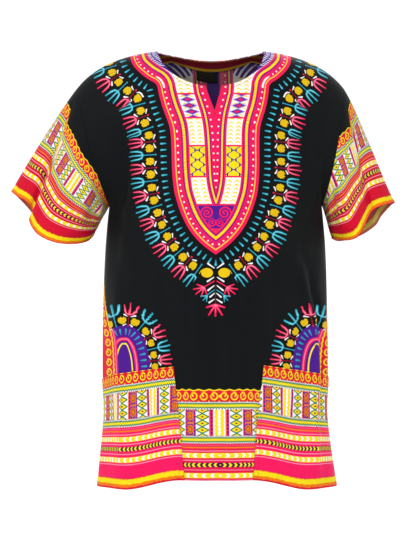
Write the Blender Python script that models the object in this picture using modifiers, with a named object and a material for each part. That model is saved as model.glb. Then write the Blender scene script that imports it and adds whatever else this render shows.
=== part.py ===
"""A short-sleeved dashiki shirt, filled out as when it is worn, in the pieces that a maker cuts and sews.

Metres, +Z up. The front faces -Y and the wearer's right is at -X. The origin lies on the shoulder line,
midway between the two points where the shoulder seams meet the neck."""

import math
from collections import namedtuple

import bmesh
import bpy
from mathutils import Vector

# Cloth walls and the gap that is left at every seam
CLOTH = 0.0012
POCKET_CLOTH = 0.0010
TRIM_CLOTH = 0.0010
GAP = 0.0003

FRONT, BACK = -1, 1
RIGHT, LEFT = -1, 1

# Shoulders: the line falls from a peak inside the neck opening to the shoulder tip
NECK_HALF = 0.0925
NECK_LEAN = -0.003
PEAK_RISE = 0.0041
SHOULDER_HALF = 0.232
SHOULDER_DROP = 0.062
SHOULDER_POWER = 2.6

# Neckline of the front, as it is seen from the front, and its slit
NECK_DROP = 0.0710
SLIT_HALF = 0.0140
SLIT_DROP = 0.1140
# Neckline of the back, as it is seen from above
BACK_NECK_DEPTH = 0.067

# Armhole
UNDERARM_DROP = 0.271
ARMHOLE_FULLNESS = 0.5
ARMHOLE_DEPTH = {FRONT: 0.066, BACK: 0.060}
YOKE_TURN = 60.0
YOKE_POWER = {FRONT: 1.2, BACK: 1.7}

# Hem and side vents
VENT_DROP = 0.642
VENT_SPREAD = 0.007
HEM_CENTRE_DROP = 0.737
HEM_CORNER_DROP = 0.7575
HEM_SIDE_DROP = 0.760
HEM_CENTRE_END, HEM_CORNER_AT = 0.18, 0.55

# Sections of the body below the underarm, each a half ellipse in front and one behind
Section = namedtuple("Section", "drop half_width front_depth back_depth lean")
SECTIONS = (
    Section(drop=0.271, half_width=0.1865, front_depth=0.136, back_depth=0.124, lean=0.0065),
    Section(drop=0.340, half_width=0.1930, front_depth=0.141, back_depth=0.126, lean=0.0060),
    Section(drop=0.450, half_width=0.1970, front_depth=0.140, back_depth=0.122, lean=0.0055),
    Section(drop=0.560, half_width=0.1980, front_depth=0.138, back_depth=0.126, lean=0.0060),
    Section(drop=0.642, half_width=0.1955, front_depth=0.139, back_depth=0.130, lean=0.0060),
    Section(drop=0.765, half_width=0.2090, front_depth=0.145, back_depth=0.137, lean=0.0085),
)

# Patch pockets: where the inner edge and the top edge lie, u across the panel and drop below the neck
Pocket = namedtuple("Pocket", "side inner_top inner_hem inner_drop side_drop")
POCKETS = {
    RIGHT: Pocket(side=RIGHT, inner_top=0.2335, inner_hem=0.1700, inner_drop=0.546, side_drop=0.577),
    LEFT: Pocket(side=LEFT, inner_top=0.2680, inner_hem=0.1920, inner_drop=0.5445, side_drop=0.575),
}
POCKET_COLUMN = 0.27

# Folds of the body: a ridge has a height above 0 and a trough one below 0. Across is u at the fold's
# top, middle and bottom, and width is the fold's half width in u
Fold = namedtuple("Fold", "face top bottom across_top across_mid across_low width height")
FOLDS = (
    Fold(FRONT, 0.08, 0.44, -0.50, -0.55, -0.60, 0.075, 0.0050),
    Fold(FRONT, 0.12, 0.33, -0.68, -0.70, -0.74, 0.070, -0.0060),
    Fold(FRONT, 0.36, 0.80, -0.62, -0.60, -0.58, 0.100, 0.0070),
    Fold(FRONT, 0.40, 0.80, -0.40, -0.36, -0.38, 0.090, -0.0030),
    Fold(FRONT, 0.38, 0.62, -0.02, 0.00, 0.02, 0.050, -0.0035),
    Fold(FRONT, 0.36, 0.80, -0.14, -0.13, -0.11, 0.060, 0.0025),
    Fold(FRONT, 0.34, 0.80, 0.10, 0.09, 0.08, 0.050, 0.0025),
    Fold(FRONT, 0.40, 0.64, 0.16, 0.17, 0.18, 0.045, -0.0030),
    Fold(FRONT, 0.08, 0.34, 0.64, 0.62, 0.56, 0.085, -0.0060),
    Fold(FRONT, 0.08, 0.30, 0.84, 0.82, 0.78, 0.080, 0.0050),
    Fold(FRONT, 0.26, 0.80, 0.40, 0.66, 0.62, 0.060, 0.0080),
    Fold(FRONT, 0.32, 0.70, 0.50, 0.75, 0.76, 0.045, -0.0065),
    Fold(BACK, 0.10, 0.80, -0.52, -0.50, -0.46, 0.090, 0.0060),
    Fold(BACK, 0.16, 0.74, -0.30, -0.29, -0.26, 0.080, -0.0055),
    Fold(BACK, 0.22, 0.80, -0.06, -0.05, -0.04, 0.090, 0.0045),
    Fold(BACK, 0.18, 0.72, 0.18, 0.20, 0.18, 0.080, -0.0050),
    Fold(BACK, 0.12, 0.80, 0.44, 0.42, 0.40, 0.090, 0.0060),
    Fold(BACK, 0.14, 0.46, 0.72, 0.70, 0.66, 0.080, -0.0055),
    Fold(BACK, 0.14, 0.46, -0.72, -0.70, -0.66, 0.080, -0.0055),
)
FOLD_FADE = 0.35

# Cuff rings. Each row is a point of the sleeve's hem: its share of the way round from the top of the
# armhole (0) over the front to the underarm (0.5) and on over the back (1), how far it lies from the
# cuff's centre towards the outer corner, its depth from front (below 0) to back, and its droop
CuffPoint = namedtuple("CuffPoint", "round across depth droop")
RIGHT_CUFF = (
    CuffPoint(0.000, 0.081, 0.004, 0.000),
    CuffPoint(0.055, 0.066, -0.020, 0.003),
    CuffPoint(0.105, 0.044, -0.030, 0.005),
    CuffPoint(0.150, 0.031, -0.030, 0.014),
    CuffPoint(0.190, 0.024, -0.052, 0.030),
    CuffPoint(0.250, 0.000, -0.078, 0.045),
    CuffPoint(0.320, -0.033, -0.080, 0.045),
    CuffPoint(0.390, -0.062, -0.061, 0.034),
    CuffPoint(0.450, -0.080, -0.032, 0.019),
    CuffPoint(0.500, -0.083, 0.000, 0.003),
    CuffPoint(0.580, -0.070, 0.040, 0.014),
    CuffPoint(0.680, -0.028, 0.060, 0.032),
    CuffPoint(0.780, 0.018, 0.052, 0.030),
    CuffPoint(0.850, 0.044, 0.060, 0.016),
    CuffPoint(0.930, 0.072, 0.038, 0.004),
)
LEFT_CUFF = (
    CuffPoint(0.000, 0.064, 0.010, 0.000),
    CuffPoint(0.070, 0.049, -0.016, -0.004),
    CuffPoint(0.130, 0.029, -0.028, -0.008),
    CuffPoint(0.180, 0.017, -0.028, -0.006),
    CuffPoint(0.220, 0.003, -0.040, 0.000),
    CuffPoint(0.270, -0.013, -0.058, 0.011),
    CuffPoint(0.330, -0.031, -0.062, 0.019),
    CuffPoint(0.400, -0.049, -0.046, 0.014),
    CuffPoint(0.500, -0.064, 0.000, 0.000),
    CuffPoint(0.580, -0.052, 0.042, 0.012),
    CuffPoint(0.680, -0.018, 0.066, 0.022),
    CuffPoint(0.780, 0.018, 0.058, 0.020),
    CuffPoint(0.850, 0.038, 0.064, 0.010),
    CuffPoint(0.930, 0.058, 0.042, 0.002),
)
# Each sleeve hangs from its armhole down to a cuff whose outer and inner corners are given from the
# front. The stretches say how far the cloth runs on in the body's direction and into the cuff
Sleeve = namedtuple("Sleeve", "side outer_x outer_z inner_x inner_z cuff")
SLEEVES = {
    RIGHT: Sleeve(RIGHT, outer_x=-0.352, outer_z=-0.246, inner_x=-0.209, inner_z=-0.316, cuff=RIGHT_CUFF),
    LEFT: Sleeve(LEFT, outer_x=0.3235, outer_z=-0.264, inner_x=0.2105, inner_z=-0.328, cuff=LEFT_CUFF),
}
SHOULDER_STRETCH = 0.095
CUFF_STRETCH = 0.110
# Tucks across the under side, where the sleeve's spare length gathers. Along is the share of the way
# to the cuff, and round is the share of the way round, as for the cuffs
Tuck = namedtuple("Tuck", "side along width round reach height")
TUCKS = (
    Tuck(side=RIGHT, along=0.30, width=0.11, round=0.40, reach=0.07, height=0.0060),
    Tuck(side=RIGHT, along=0.52, width=0.10, round=0.38, reach=0.08, height=-0.0070),
    Tuck(side=RIGHT, along=0.72, width=0.11, round=0.41, reach=0.07, height=0.0045),
    Tuck(side=RIGHT, along=0.45, width=0.13, round=0.62, reach=0.08, height=-0.0060),
    Tuck(side=LEFT, along=0.45, width=0.13, round=0.62, reach=0.08, height=-0.0060),
    Tuck(side=LEFT, along=0.40, width=0.13, round=0.36, reach=0.08, height=-0.0045),
)

# Grid lines of a panel. Columns run from its centre to its side seam. Those up to NECK_COLUMN start
# at the neckline, and the rest on the shoulder. The first rows end at the side of the neck
NECK_COLUMN = 0.337
NECK_CORNER = math.radians(50)
SLIT_COLUMN = NECK_COLUMN * math.asin(SLIT_HALF / NECK_HALF) / NECK_CORNER
LABEL_COLUMNS = (-0.13, 0.035)
FRONT_COLUMNS = (0, SLIT_COLUMN, 0.13, 0.20, 0.27, NECK_COLUMN,
                 0.42, 0.50, 0.58, 0.66, 0.74, 0.82, 0.89, 0.95, 1)
BACK_COLUMNS = (0, 0.035, 0.13, 0.20, 0.27, NECK_COLUMN, 0.43, 0.53, 0.63, 0.73, 0.83, 0.92, 1)
SIDE_ROWS = (0, 0.1, 0.4, 0.7, 1)
SIDE_ROWS_END = 0.34
SIDE_ROWS_POWER = {FRONT: 2.4, BACK: 1.0}
FACING_STEP, LABEL_STEP = 0.11, 0.08
CHEST_ROWS = 6
YOKE_ROWS = len(SIDE_ROWS) - 1 + 2 + CHEST_ROWS
SKIRT_ROWS = 7
POCKET_ROWS = 7
SLEEVE_ROWS = (0, 0.02, 0.10, 0.21, 0.32, 0.43, 0.55, 0.67, 0.79, 0.90, 1)
POCKET_V = 1.5
HEM_V = 2.0

COLOURS = {
    "black_print": (0.012, 0.013, 0.015),
    "border_print": (0.72, 0.02, 0.10),
    "facing_pink": (0.60, 0.02, 0.09),
    "label_black": (0.02, 0.02, 0.018),
}
COTTON_ROUGHNESS = 0.8


def smoothstep(x):
    x = min(max(x, 0.0), 1.0)
    return x * x * (3 - 2 * x)


def cubic_through(knots, values, at):
    """A smooth curve through the values at the knots, with each slope taken from the two neighbours."""
    last = len(knots) - 1
    i = 0
    while i < last - 1 and at > knots[i + 1]:
        i += 1

    def slope(k):
        low, high = max(k - 1, 0), min(k + 1, last)
        return (values[high] - values[low]) / (knots[high] - knots[low])

    span = knots[i + 1] - knots[i]
    t = (at - knots[i]) / span
    return (
        values[i] * (2 * t**3 - 3 * t**2 + 1)
        + slope(i) * span * (t**3 - 2 * t**2 + t)
        + values[i + 1] * (3 * t**2 - 2 * t**3)
        + slope(i + 1) * span * (t**3 - t**2)
    )


def section_at(drop):
    drop = min(max(drop, SECTIONS[0].drop), SECTIONS[-1].drop)
    knots = [s.drop for s in SECTIONS]
    return Section(drop, *(cubic_through(knots, [s[k] for s in SECTIONS], drop) for k in range(1, 5)))


def hem_drop(face, u):
    """The hem hangs lowest at the front corners, where the pockets double the cloth."""
    if face == BACK:
        return HEM_SIDE_DROP
    corner = smoothstep((abs(u) - HEM_CENTRE_END) / (HEM_CORNER_AT - HEM_CENTRE_END))
    side = smoothstep((abs(u) - HEM_CORNER_AT) / (1 - HEM_CORNER_AT))
    low = HEM_CENTRE_DROP + (HEM_CORNER_DROP - HEM_CENTRE_DROP) * corner
    return low + (HEM_SIDE_DROP - HEM_CORNER_DROP) * side


def pocket_line(u):
    """The drop of the row that the pockets' top edges follow."""
    if abs(u) >= 1:
        return POCKETS[RIGHT if u < 0 else LEFT].side_drop
    for pocket in POCKETS.values():
        inner = pocket.inner_top
        if u * pocket.side > inner:
            share = (u * pocket.side - inner) / (1 - inner)
            return pocket.inner_drop + (pocket.side_drop - pocket.inner_drop) * share
    right, left = POCKETS[RIGHT], POCKETS[LEFT]
    share = (u + right.inner_top) / (right.inner_top + left.inner_top)
    return right.inner_drop + (left.inner_drop - right.inner_drop) * share


def pocket_column(side, v):
    """The u of the column that a pocket's inner edge follows."""
    pocket = POCKETS[side]
    if v < POCKET_V:
        rise = smoothstep((v - 1) / (POCKET_V - 1))
        return POCKET_COLUMN + (pocket.inner_top - POCKET_COLUMN) * rise
    share = (v - POCKET_V) / (HEM_V - POCKET_V)
    return pocket.inner_top + (pocket.inner_hem - pocket.inner_top) * share


def u_of_column(face, column, v):
    """Columns are straight lines in u, but the front's bend to follow the pockets' inner edges."""
    side = RIGHT if column < 0 else LEFT
    if face == BACK or v <= 1:
        return column
    inner = pocket_column(side, v)
    away = abs(column)
    if away <= POCKET_COLUMN:
        return side * inner * away / POCKET_COLUMN
    return side * (inner + (1 - inner) * (away - POCKET_COLUMN) / (1 - POCKET_COLUMN))


def across(turn, u):
    return math.sin(u * turn) / math.sin(turn)


def inward(turn, u):
    return (1 - math.cos(u * turn)) / (1 - math.cos(turn))


YokeRow = namedtuple("YokeRow", "turn lean edge_x edge_y edge_z centre_y centre_z")


def yoke_row(face, t):
    """A line across the panel above the underarm: t runs from the shoulder line (0) to the underarm (1)."""
    chest = SECTIONS[0]
    half_loop = (1 - math.cos(math.pi * t)) / 2
    narrowing = (1 - half_loop) * (1 + ARMHOLE_FULLNESS * half_loop)
    fall = (1 - math.cos(math.pi / 2 * t)) ** YOKE_POWER[face]
    chest_depth = chest.front_depth if face == FRONT else chest.back_depth
    return YokeRow(
        turn=math.radians(YOKE_TURN + (90 - YOKE_TURN) * t**3),
        lean=NECK_LEAN + (chest.lean - NECK_LEAN) * smoothstep(t),
        edge_x=chest.half_width + (SHOULDER_HALF - chest.half_width) * narrowing,
        edge_y=ARMHOLE_DEPTH[face] * math.sin(math.pi * t),
        edge_z=-SHOULDER_DROP - (UNDERARM_DROP - SHOULDER_DROP) * half_loop,
        centre_y=chest_depth * math.sin(math.pi / 2 * t),
        centre_z=PEAK_RISE - (UNDERARM_DROP + PEAK_RISE) * fall,
    )


def yoke_point(face, u, t):
    row = yoke_row(face, t)
    return Vector((
        row.lean + row.edge_x * across(row.turn, u),
        face * (row.centre_y + (row.edge_y - row.centre_y) * inward(row.turn, abs(u))),
        row.centre_z + (row.edge_z - row.centre_z) * abs(u) ** SHOULDER_POWER,
    ))


def skirt_point(face, u, v):
    """A point below the underarm: v runs from the underarm (1) over the pocket line to the hem (2)."""
    hem, line = hem_drop(face, u), pocket_line(u)
    if v <= POCKET_V:
        drop = UNDERARM_DROP + (line - UNDERARM_DROP) * (v - 1) / (POCKET_V - 1)
    else:
        drop = line + (hem - line) * (v - POCKET_V) / (HEM_V - POCKET_V)
    section = section_at(drop)
    depth = section.front_depth if face == FRONT else section.back_depth
    spread = VENT_SPREAD * smoothstep((drop - VENT_DROP) / (HEM_SIDE_DROP - VENT_DROP))
    turn = math.pi / 2
    return Vector((
        section.lean + section.half_width * across(turn, u),
        face * (depth + (spread - depth) * inward(turn, abs(u))),
        -drop,
    ))


def fold_height(face, u, drop):
    height = 0.0
    for fold in FOLDS:
        if fold.face != face or not fold.top < drop < fold.bottom:
            continue
        middle = (fold.top + fold.bottom) / 2
        knots = (fold.top, middle, fold.bottom)
        centre = cubic_through(knots, (fold.across_top, fold.across_mid, fold.across_low), drop)
        fade = FOLD_FADE * (fold.bottom - fold.top)
        ends = smoothstep((drop - fold.top) / fade) * smoothstep((fold.bottom - drop) / fade)
        height += fold.height * ends * math.exp(-(((u - centre) / fold.width) ** 2))
    # The folds die away at the side seams, so that the two panels meet there
    return height * smoothstep((1 - abs(u)) / 0.15)


def panel_point(face, u, v):
    point = yoke_point(face, u, v) if v <= 1 else skirt_point(face, u, v)
    height = fold_height(face, u, -point.z)
    section = section_at(-point.z)
    out = Vector(((point.x - section.lean) / section.half_width**2, point.y / section.front_depth**2, 0))
    point += out.normalized() * height if out.length > 0 else Vector()
    # Half the seam gap, so that front and back never touch
    return point + Vector((0, face * GAP / 2, 0))


def front_neckline_drop(away):
    """The front neckline as it is seen from the front: a scoop with a slit cut down its middle."""
    if away < SLIT_HALF:
        return SLIT_DROP + (NECK_DROP - SLIT_DROP) * away / SLIT_HALF
    return NECK_DROP * math.sqrt(max(0.0, 1 - (away / NECK_HALF) ** 2))


def neck_u(t, away):
    """The u at which the row at t lies this far from the middle of the neck."""
    row = yoke_row(FRONT, t)
    return math.asin(away * math.sin(row.turn) / row.edge_x) / row.turn


def neckline_uv(face, angle):
    """Where the neckline passes at an angle, from its middle (0) to the shoulder seam (90 degrees)."""
    away = NECK_HALF * math.sin(angle)
    shoulder_z = yoke_point(face, neck_u(0, NECK_HALF), 0).z
    low, high = 0.0, 0.95
    for _ in range(40):
        t = (low + high) / 2
        u = neck_u(t, away)
        point = yoke_point(face, u, t)
        if face == FRONT:
            inside = point.z > shoulder_z - front_neckline_drop(away)
        else:
            inside = point.y < BACK_NECK_DEPTH * math.cos(angle)
        low, high = (t, high) if inside else (low, t)
    return u, t


def side_row_uv(face, column, share):
    """A row that ends at the side of the neck, at a share of the way from the shoulder to the corner."""
    angle = math.acos(math.cos(NECK_CORNER) * share ** SIDE_ROWS_POWER[face])
    start_u, start_t = neckline_uv(face, angle)
    along = (column - NECK_COLUMN) / (1 - NECK_COLUMN)
    return start_u + (1 - start_u) * along, start_t + (SIDE_ROWS_END * share - start_t) * along


def column_uv(face, column):
    """The u and v of each crossing down a column on the +X side, with None where the neck is open."""
    if column < NECK_COLUMN:
        crossings = [None] * (len(SIDE_ROWS) - 1)
        top_u, top_t = neckline_uv(face, NECK_CORNER * column / NECK_COLUMN)
    else:
        crossings = [side_row_uv(face, column, share) for share in SIDE_ROWS[:-1]]
        top_u, top_t = side_row_uv(face, column, 1)
    start = top_t + FACING_STEP + LABEL_STEP
    chest = [start + (1 - start) * i / CHEST_ROWS for i in range(CHEST_ROWS + 1)]
    for t in [top_t, top_t + FACING_STEP] + chest:
        crossings.append((top_u + (column - top_u) * (t - top_t) / (1 - top_t), t))
    skirt = [1 + (POCKET_V - 1) * i / SKIRT_ROWS for i in range(1, SKIRT_ROWS + 1)]
    pocket = [POCKET_V + (HEM_V - POCKET_V) * i / POCKET_ROWS for i in range(1, POCKET_ROWS + 1)]
    return crossings + [(column, v) for v in skirt + pocket]


def panel_grid(face):
    """Columns from the wearer's right to left, each a list of points from the top row to the hem."""
    half = FRONT_COLUMNS if face == FRONT else BACK_COLUMNS
    columns = [-c for c in reversed(half[1:])] + list(half)
    grid = []
    for column in columns:
        line = []
        for crossing in column_uv(face, abs(column)):
            if crossing is None:
                line.append(None)
                continue
            u, v = crossing
            if v > 1:
                u = u_of_column(face, column, v)
            elif column < 0:
                u = -u
            line.append(panel_point(face, u, v))
        grid.append(line)
    return columns, grid


def normals_of(grid, face):
    """Outward normals at a grid's points, from the neighbours on each side."""

    def at(i, j, fallback):
        if 0 <= i < len(grid) and 0 <= j < len(grid[0]) and grid[i][j] is not None:
            return grid[i][j]
        return fallback

    found = []
    for i, line in enumerate(grid):
        row = []
        for j, here in enumerate(line):
            if here is None:
                row.append(None)
                continue
            east = at(i + 1, j, here) - at(i - 1, j, here)
            down = at(i, j + 1, here) - at(i, j - 1, here)
            row.append((down.cross(east) * -face).normalized())
        found.append(row)
    return found


def moved(grid, normals, distance):
    return [[p and p + n * distance for p, n in zip(a, b)] for a, b in zip(grid, normals)]


def material(name):
    made = bpy.data.materials.get(name) or bpy.data.materials.new(name)
    made.use_nodes = True
    shader = made.node_tree.nodes["Principled BSDF"]
    shader.inputs["Base Color"].default_value = (*COLOURS[name], 1)
    shader.inputs["Roughness"].default_value = COTTON_ROUGHNESS
    return made


def cloth_piece(name, grid, thickness, colour, outward, closed=False):
    """A wall whose outer face is the grid, thickened inwards, left open where the grid has no point. A
    closed grid joins its ends."""
    mesh = bmesh.new()
    points = [[p and mesh.verts.new(p) for p in line] for line in grid]
    lines = len(points)
    for i in range(lines if closed else lines - 1):
        a, b = points[i], points[(i + 1) % lines]
        for j in range(len(a) - 1):
            corners = (a[j], a[j + 1], b[j + 1], b[j])
            if all(corners):
                mesh.faces.new(corners)
    bmesh.ops.recalc_face_normals(mesh, faces=mesh.faces)
    mesh.faces.ensure_lookup_table()
    first = mesh.faces[0]
    if first.normal.dot(outward(first.calc_center_median())) < 0:
        bmesh.ops.reverse_faces(mesh, faces=mesh.faces)
    data = bpy.data.meshes.new(name)
    mesh.to_mesh(data)
    mesh.free()
    data.materials.append(material(colour))
    data.shade_smooth()
    piece = bpy.data.objects.new(name, data)
    wall = piece.modifiers.new("Wall", "SOLIDIFY")
    wall.thickness = thickness
    wall.offset = -1
    SHIRT.objects.link(piece)
    return piece


def away_from_axis(point):
    return Vector((point.x, point.y, 0))


def armhole_ring(side, panels):
    """The armhole's points from the tip over the front to the underarm and back up behind. Each has
    its share of the way round, and the direction in which the panel's cloth runs out at it."""
    edges = {}
    for face, grid in panels.items():
        edge, inner = (grid[0], grid[1]) if side == RIGHT else (grid[-1], grid[-2])
        edges[face] = [(p, (p - q).normalized()) for p, q in zip(edge, inner)][: YOKE_ROWS + 1]

    def between(a, b):
        return (a[0] + b[0]) / 2, (a[1] + b[1]).normalized()

    front = [between(edges[FRONT][0], edges[BACK][0])] + edges[FRONT][1:-1]
    back = [between(edges[FRONT][-1], edges[BACK][-1])] + list(reversed(edges[BACK][1:-1]))
    fine = []
    for a, b in zip(front, front[1:] + back[:1]):
        fine += [a, between(a, b)]
    return [(*p, i / (2 * len(fine))) for i, p in enumerate(fine)] + [
        (*p, 0.5 + i / (2 * len(back))) for i, p in enumerate(back)
    ]


def cuff_point(sleeve, share):
    """A point of the sleeve's hem, from the closed curve through the cuff's rows."""
    rows = sleeve.cuff
    knots = [r.round - 1 for r in rows] + [r.round for r in rows] + [r.round + 1 for r in rows]
    across_cuff, depth, droop = (
        cubic_through(knots, [r[k] for r in rows] * 3, share) for k in (1, 2, 3)
    )
    outer = Vector((sleeve.outer_x, 0, sleeve.outer_z))
    inner = Vector((sleeve.inner_x, 0, sleeve.inner_z))
    outwards = (outer - inner).normalized()
    down = Vector((outwards.z * sleeve.side, 0, -abs(outwards.x)))
    return (outer + inner) / 2 + outwards * across_cuff + down * droop + Vector((0, depth, 0)), down


def sleeve_grid(sleeve, panels):
    """Lines along the sleeve from armhole to hem, one for each point of the armhole's ring."""
    grid = []
    ring = armhole_ring(sleeve.side, panels)
    for start, runs_out, share in ring:
        end, down = cuff_point(sleeve, share)
        top = smoothstep((1 + math.cos(2 * math.pi * share)) / 2 / 0.45)
        underarm = Vector((sleeve.side * 0.5, 0, -0.85))
        leave = (runs_out * top + underarm * (1 - top)).normalized()
        start = start + Vector((sleeve.side * GAP * 1.3, 0, 0)) * (1 - top) + runs_out * GAP * 1.3 * top
        run = (end - start).length
        line = []
        for s in SLEEVE_ROWS:
            a, b = SHOULDER_STRETCH, CUFF_STRETCH
            reach = min(1.0, run / 0.2)
            line.append(
                start * (2 * s**3 - 3 * s**2 + 1)
                + leave * a * reach * (s**3 - 2 * s**2 + s)
                + end * (3 * s**2 - 2 * s**3)
                + down * b * reach * (s**3 - s**2)
            )
        grid.append(line)
    return ring, grid


def tucked(sleeve, ring, grid):
    """The same sleeve with its tucks under the arm."""
    made = []
    tucks = [tuck for tuck in TUCKS if tuck.side == sleeve.side]
    for (_, _, share), line in zip(ring, grid):
        made_line = []
        for s, point in zip(SLEEVE_ROWS, line):
            height = sum(
                tuck.height
                * math.exp(-(((s - tuck.along) / tuck.width) ** 2))
                * math.exp(-(((share - tuck.round) / tuck.reach) ** 2))
                for tuck in tucks
            )
            out = Vector((0, FRONT if share < 0.5 else BACK, -0.5)).normalized()
            made_line.append(point + out * height * smoothstep(s / 0.12))
        made.append(made_line)
    return made


def sub_grid(columns, grid, low, high, first_row, last_row):
    """The part of a panel's grid between two columns and two rows, both included."""
    return [line[first_row : last_row + 1] for c, line in zip(columns, grid) if low <= c <= high]


def build_panels():
    columns, grids, normals = {}, {}, {}
    for face, name in ((FRONT, "front_panel"), (BACK, "back_panel")):
        columns[face], grids[face] = panel_grid(face)
        normals[face] = normals_of(grids[face], face)
        cloth_piece(name, grids[face], CLOTH, "black_print", away_from_axis)
    return columns, grids, normals


def build_sleeves(panels):
    for side, name in ((RIGHT, "right_sleeve"), (LEFT, "left_sleeve")):
        sleeve = SLEEVES[side]
        ring, grid = sleeve_grid(sleeve, panels)
        grid = tucked(sleeve, ring, grid)
        middle = sum((line[0] for line in grid), Vector()) / len(grid)
        cloth_piece(name, grid, CLOTH, "border_print", lambda p, m=middle: p - m, closed=True)


def build_pockets(columns, grid, normals):
    lifted = moved(grid, normals, GAP + POCKET_CLOTH)
    rows = (YOKE_ROWS + SKIRT_ROWS, YOKE_ROWS + SKIRT_ROWS + POCKET_ROWS)
    spans = {"right_pocket": (-1, -POCKET_COLUMN), "left_pocket": (POCKET_COLUMN, 1)}
    for name, (low, high) in spans.items():
        patch = sub_grid(columns, lifted, low, high, *rows)
        cloth_piece(name, patch, POCKET_CLOTH, "border_print", away_from_axis)


def build_neck_trim(columns, grid, normals):
    """The facing turned inside the back neck and the bare label under it."""
    inside = moved(grid, normals, -CLOTH - GAP)
    edge_row = len(SIDE_ROWS) - 1
    facing_end = min(c for c in columns if c > NECK_COLUMN)
    facing = sub_grid(columns, inside, -facing_end, facing_end, 0, edge_row + 1)
    cloth_piece("back_neck_facing", facing, TRIM_CLOTH, "facing_pink", away_from_axis)
    label = sub_grid(columns, inside, *LABEL_COLUMNS, edge_row + 1, edge_row + 2)
    for line in label:
        line[0] += (line[1] - line[0]).normalized() * 3 * GAP
    cloth_piece("neck_label", label, TRIM_CLOTH, "label_black", away_from_axis)


for old in list(bpy.data.objects):
    bpy.data.objects.remove(old)
SHIRT = bpy.data.collections.new("dashiki_shirt")
bpy.context.scene.collection.children.link(SHIRT)
panel_columns, panel_grids, panel_normals = build_panels()
build_sleeves(panel_grids)
build_pockets(panel_columns[FRONT], panel_grids[FRONT], panel_normals[FRONT])
build_neck_trim(panel_columns[BACK], panel_grids[BACK], panel_normals[BACK])
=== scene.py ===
"""The looks of a dashiki shirt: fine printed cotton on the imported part's form.

Metres, +Z up, the front faces -Y and the wearer's right is at -X, as in the part. The print is painted by
the materials from coordinates that lie in the cloth, in millimetres."""

import math
from collections import namedtuple
from functools import reduce

import bpy
import numpy as np
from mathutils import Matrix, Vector


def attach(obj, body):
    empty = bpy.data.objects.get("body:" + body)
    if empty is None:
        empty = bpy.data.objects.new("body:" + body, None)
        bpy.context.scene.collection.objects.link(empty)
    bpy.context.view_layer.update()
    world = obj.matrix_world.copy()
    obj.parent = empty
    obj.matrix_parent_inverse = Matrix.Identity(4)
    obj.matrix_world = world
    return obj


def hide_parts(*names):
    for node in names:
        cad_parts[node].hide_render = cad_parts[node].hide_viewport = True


FRONT, BACK = -1, 1
RIGHT, LEFT = -1, 1

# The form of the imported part, in metres
CLOTH, POCKET_CLOTH, GAP = 0.0012, 0.001, 0.0003
NECK_HALF, NECK_LEAN, PEAK_RISE = 0.0925, -0.003, 0.0041
SHOULDER_HALF, SHOULDER_DROP, SHOULDER_POWER = 0.232, 0.062, 2.6
NECK_DROP, SLIT_HALF, SLIT_DROP, BACK_NECK_DEPTH = 0.071, 0.014, 0.114, 0.067
UNDERARM_DROP, ARMHOLE_FULLNESS = 0.271, 0.5
ARMHOLE_DEPTH = {FRONT: 0.066, BACK: 0.06}
YOKE_TURN = 60.0
YOKE_POWER = {FRONT: 1.2, BACK: 1.7}
VENT_DROP, VENT_SPREAD = 0.642, 0.007
HEM_CENTRE_DROP, HEM_CORNER_DROP, HEM_SIDE_DROP = 0.737, 0.7575, 0.76
HEM_CENTRE_END, HEM_CORNER_AT = 0.18, 0.55

# Drop, half width, front depth, back depth and lean of each section below the underarm
SECTIONS = np.array((
    (0.271, 0.1865, 0.136, 0.124, 0.0065),
    (0.34, 0.193, 0.141, 0.126, 0.006),
    (0.45, 0.197, 0.14, 0.122, 0.0055),
    (0.56, 0.198, 0.138, 0.126, 0.006),
    (0.642, 0.1955, 0.139, 0.13, 0.006),
    (0.765, 0.209, 0.145, 0.137, 0.0085),
))
Pocket = namedtuple("Pocket", "side inner_top inner_hem inner_drop side_drop")
POCKETS = {
    RIGHT: Pocket(side=RIGHT, inner_top=0.2335, inner_hem=0.17, inner_drop=0.546, side_drop=0.577),
    LEFT: Pocket(side=LEFT, inner_top=0.268, inner_hem=0.192, inner_drop=0.5445, side_drop=0.575),
}
POCKET_COLUMN = 0.27

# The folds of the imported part: top and bottom drop, u at top, middle and bottom, width, height
FOLDS = {
    FRONT: (
        (0.08, 0.44, -0.5, -0.55, -0.6, 0.075, 0.005), (0.12, 0.33, -0.68, -0.7, -0.74, 0.07, -0.006),
        (0.36, 0.8, -0.62, -0.6, -0.58, 0.1, 0.007), (0.4, 0.8, -0.4, -0.36, -0.38, 0.09, -0.003),
        (0.38, 0.62, -0.02, 0.0, 0.02, 0.05, -0.0035), (0.36, 0.8, -0.14, -0.13, -0.11, 0.06, 0.0025),
        (0.34, 0.8, 0.1, 0.09, 0.08, 0.05, 0.0025), (0.4, 0.64, 0.16, 0.17, 0.18, 0.045, -0.003),
        (0.08, 0.34, 0.64, 0.62, 0.56, 0.085, -0.006), (0.08, 0.3, 0.84, 0.82, 0.78, 0.08, 0.005),
        (0.26, 0.8, 0.4, 0.66, 0.62, 0.06, 0.008), (0.32, 0.7, 0.5, 0.75, 0.76, 0.045, -0.0065),
    ),
    BACK: (
        (0.1, 0.8, -0.52, -0.5, -0.46, 0.09, 0.006), (0.16, 0.74, -0.3, -0.29, -0.26, 0.08, -0.0055),
        (0.22, 0.8, -0.06, -0.05, -0.04, 0.09, 0.0045), (0.18, 0.72, 0.18, 0.2, 0.18, 0.08, -0.005),
        (0.12, 0.8, 0.44, 0.42, 0.4, 0.09, 0.006), (0.14, 0.46, 0.72, 0.7, 0.66, 0.08, -0.0055),
        (0.14, 0.46, -0.72, -0.7, -0.66, 0.08, -0.0055),
    ),
}
FOLD_FADE, FOLD_SIDE_FADE = 0.35, 0.15

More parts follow.
